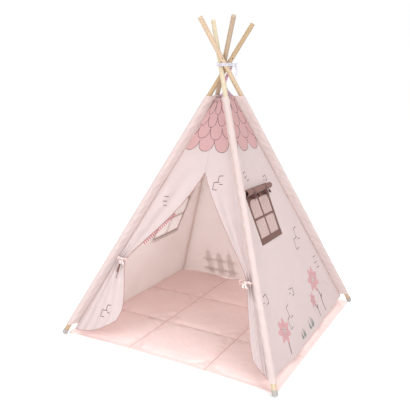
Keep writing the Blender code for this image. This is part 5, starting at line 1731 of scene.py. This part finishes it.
# %% Mat
MAT_HALF = 0.58
SEAMS = (-0.203, 0.222), (-0.2123, 0.1798)  # the seams' x and y
SEAM_HALF = 0.0022
BOUND = 0.016                # width of the binding
UNDER = 0.0004
SEAM_HEIGHT, FIELD_RISE, WRINKLE = 0.0052, 0.0066, 0.0009
ROLL_FOOT, ROLL_RISE = 0.0022, 0.0038
CORNER_PULL, CORNER_SIZE = 0.0076, 0.03
MOST_MOVE = 0.006
end = MAT_HALF - BOUND
xs, ys = (stops([-MAT_HALF, -end, a - SEAM_HALF, a + SEAM_HALF, b - SEAM_HALF, b + SEAM_HALF, end, MAT_HALF],
                [4, 34, 2, 38, 2, 34, 4]) for a, b in SEAMS)
x, y = crossed(xs, ys)
# distance to the nearest seam or to the binding
gap = np.min([np.abs(v - s) for v, seams in zip((x, y), SEAMS) for s in (-end, *seams, end)], axis=0)
inner = (np.abs(x) < end) & (np.abs(y) < end)
gap = gap * inner
puff = 0.55 * ease(gap / 0.014) ** 0.6 + 0.45 * ease(gap / 0.06)
rim = MAT_HALF - np.maximum(np.abs(x), np.abs(y))
z = SEAM_HEIGHT + FIELD_RISE * puff * ease((rim - 0.012) / 0.06)
# the binding is a thin rounded roll along the edge
roll = hump(np.clip((rim + 0.003) / (BOUND + 0.003), 0, 1)) ** 0.6
z = np.where(rim < BOUND, ROLL_FOOT + ROLL_RISE * roll, z)
z = z + WRINKLE * waves(x, y, 11, 8, 0.30, 1.0) * inner * puff
# the corners are rounded off
pull = (1 - ease(np.hypot(np.abs(x) - MAT_HALF, np.abs(y) - MAT_HALF) / CORNER_SIZE)) * CORNER_PULL
# the front edge draws in between its corners, and the other three reach a little further out
fx, fy = x / MAT_HALF, y / MAT_HALF
right = 0.012 * ease(fx) - 0.014 * ease(-fx)
back = (0.002 + 0.020 * (1 - fx ** 2)) * ease(-fy) + 0.014 * ease(fy)
points = np.stack([x - np.sign(x) * pull + right, y - np.sign(y) * pull + back, z], axis=-1)
nx, ny = x.shape
skin = grid_faces(nx, ny)
numbers = np.arange(nx * ny).reshape(nx, ny)
rim_at = np.concatenate([numbers[:-1, 0], numbers[-1, :-1], numbers[:0:-1, -1], numbers[0, :0:-1]])
after = np.roll(rim_at, -1)
side = np.stack([rim_at, rim_at + nx * ny, after + nx * ny, after], axis=1)
to_seam = [np.abs(((v[1:] + v[:-1]) / 2)[:, None] - seams).min(1) for v, seams in zip((xs, ys), SEAMS)]
kinds = np.zeros(2 * len(skin) + len(side))
kinds[:len(skin)] = (np.minimum.outer(*to_seam) < SEAM_HALF).ravel()
mat = piece("quilted_mat", np.concatenate([points, points * [1, 1, 0] + [0, 0, UNDER]]).reshape(-1, 3),
            np.concatenate([skin, skin[:, ::-1] + nx * ny, side]), [mat_cotton, mat_seam],
            np.tile(pairs(x, y), (2, 1)), material_of=kinds, sharp=60)

# pinned: the underside, the binding and the seams
held = np.concatenate([(gap < 0.003).ravel(), np.ones(nx * ny, bool)])
mat.vertex_groups.new(name="pinned").add(np.flatnonzero(held).tolist(), 1.0, "REPLACE")
before = np.zeros(len(mat.data.vertices) * 3, np.float32)
mat.data.vertices.foreach_get("co", before)
cloth = mat.modifiers.new("air", "CLOTH").settings
cloth.quality = 5
cloth.mass = 0.25
cloth.use_pressure = True
cloth.uniform_pressure_force = 4.0
cloth.shrink_min = -0.045
cloth.tension_stiffness = 12
cloth.bending_stiffness = 0.4
cloth.vertex_group_mass = "pinned"
cloth.effector_weights.gravity = 0
scene = bpy.context.scene
for number in range(1, 19):
    scene.frame_set(number)
blown = mat.evaluated_get(bpy.context.evaluated_depsgraph_get()).to_mesh()
after = np.zeros_like(before)
blown.vertices.foreach_get("co", after)
mat.modifiers.clear()
scene.frame_set(1)
# no point moves further than MOST_MOVE, or below the floor
move = (after - before).reshape(-1, 3)
far = np.linalg.norm(move, axis=1, keepdims=True)
moved = before.reshape(-1, 3) + move * np.minimum(1, MOST_MOVE / np.maximum(far, 1e-9))
moved[:, 2] = np.maximum(moved[:, 2], 0.0)
mat.data.vertices.foreach_set("co", moved.astype(np.float32).ravel())
mat.data.update()
print("mat: highest point %.1f mm" % (1000 * moved[:, 2].max()))
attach(mat, "cover")
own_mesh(mat)
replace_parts(mat, "floor_mat")
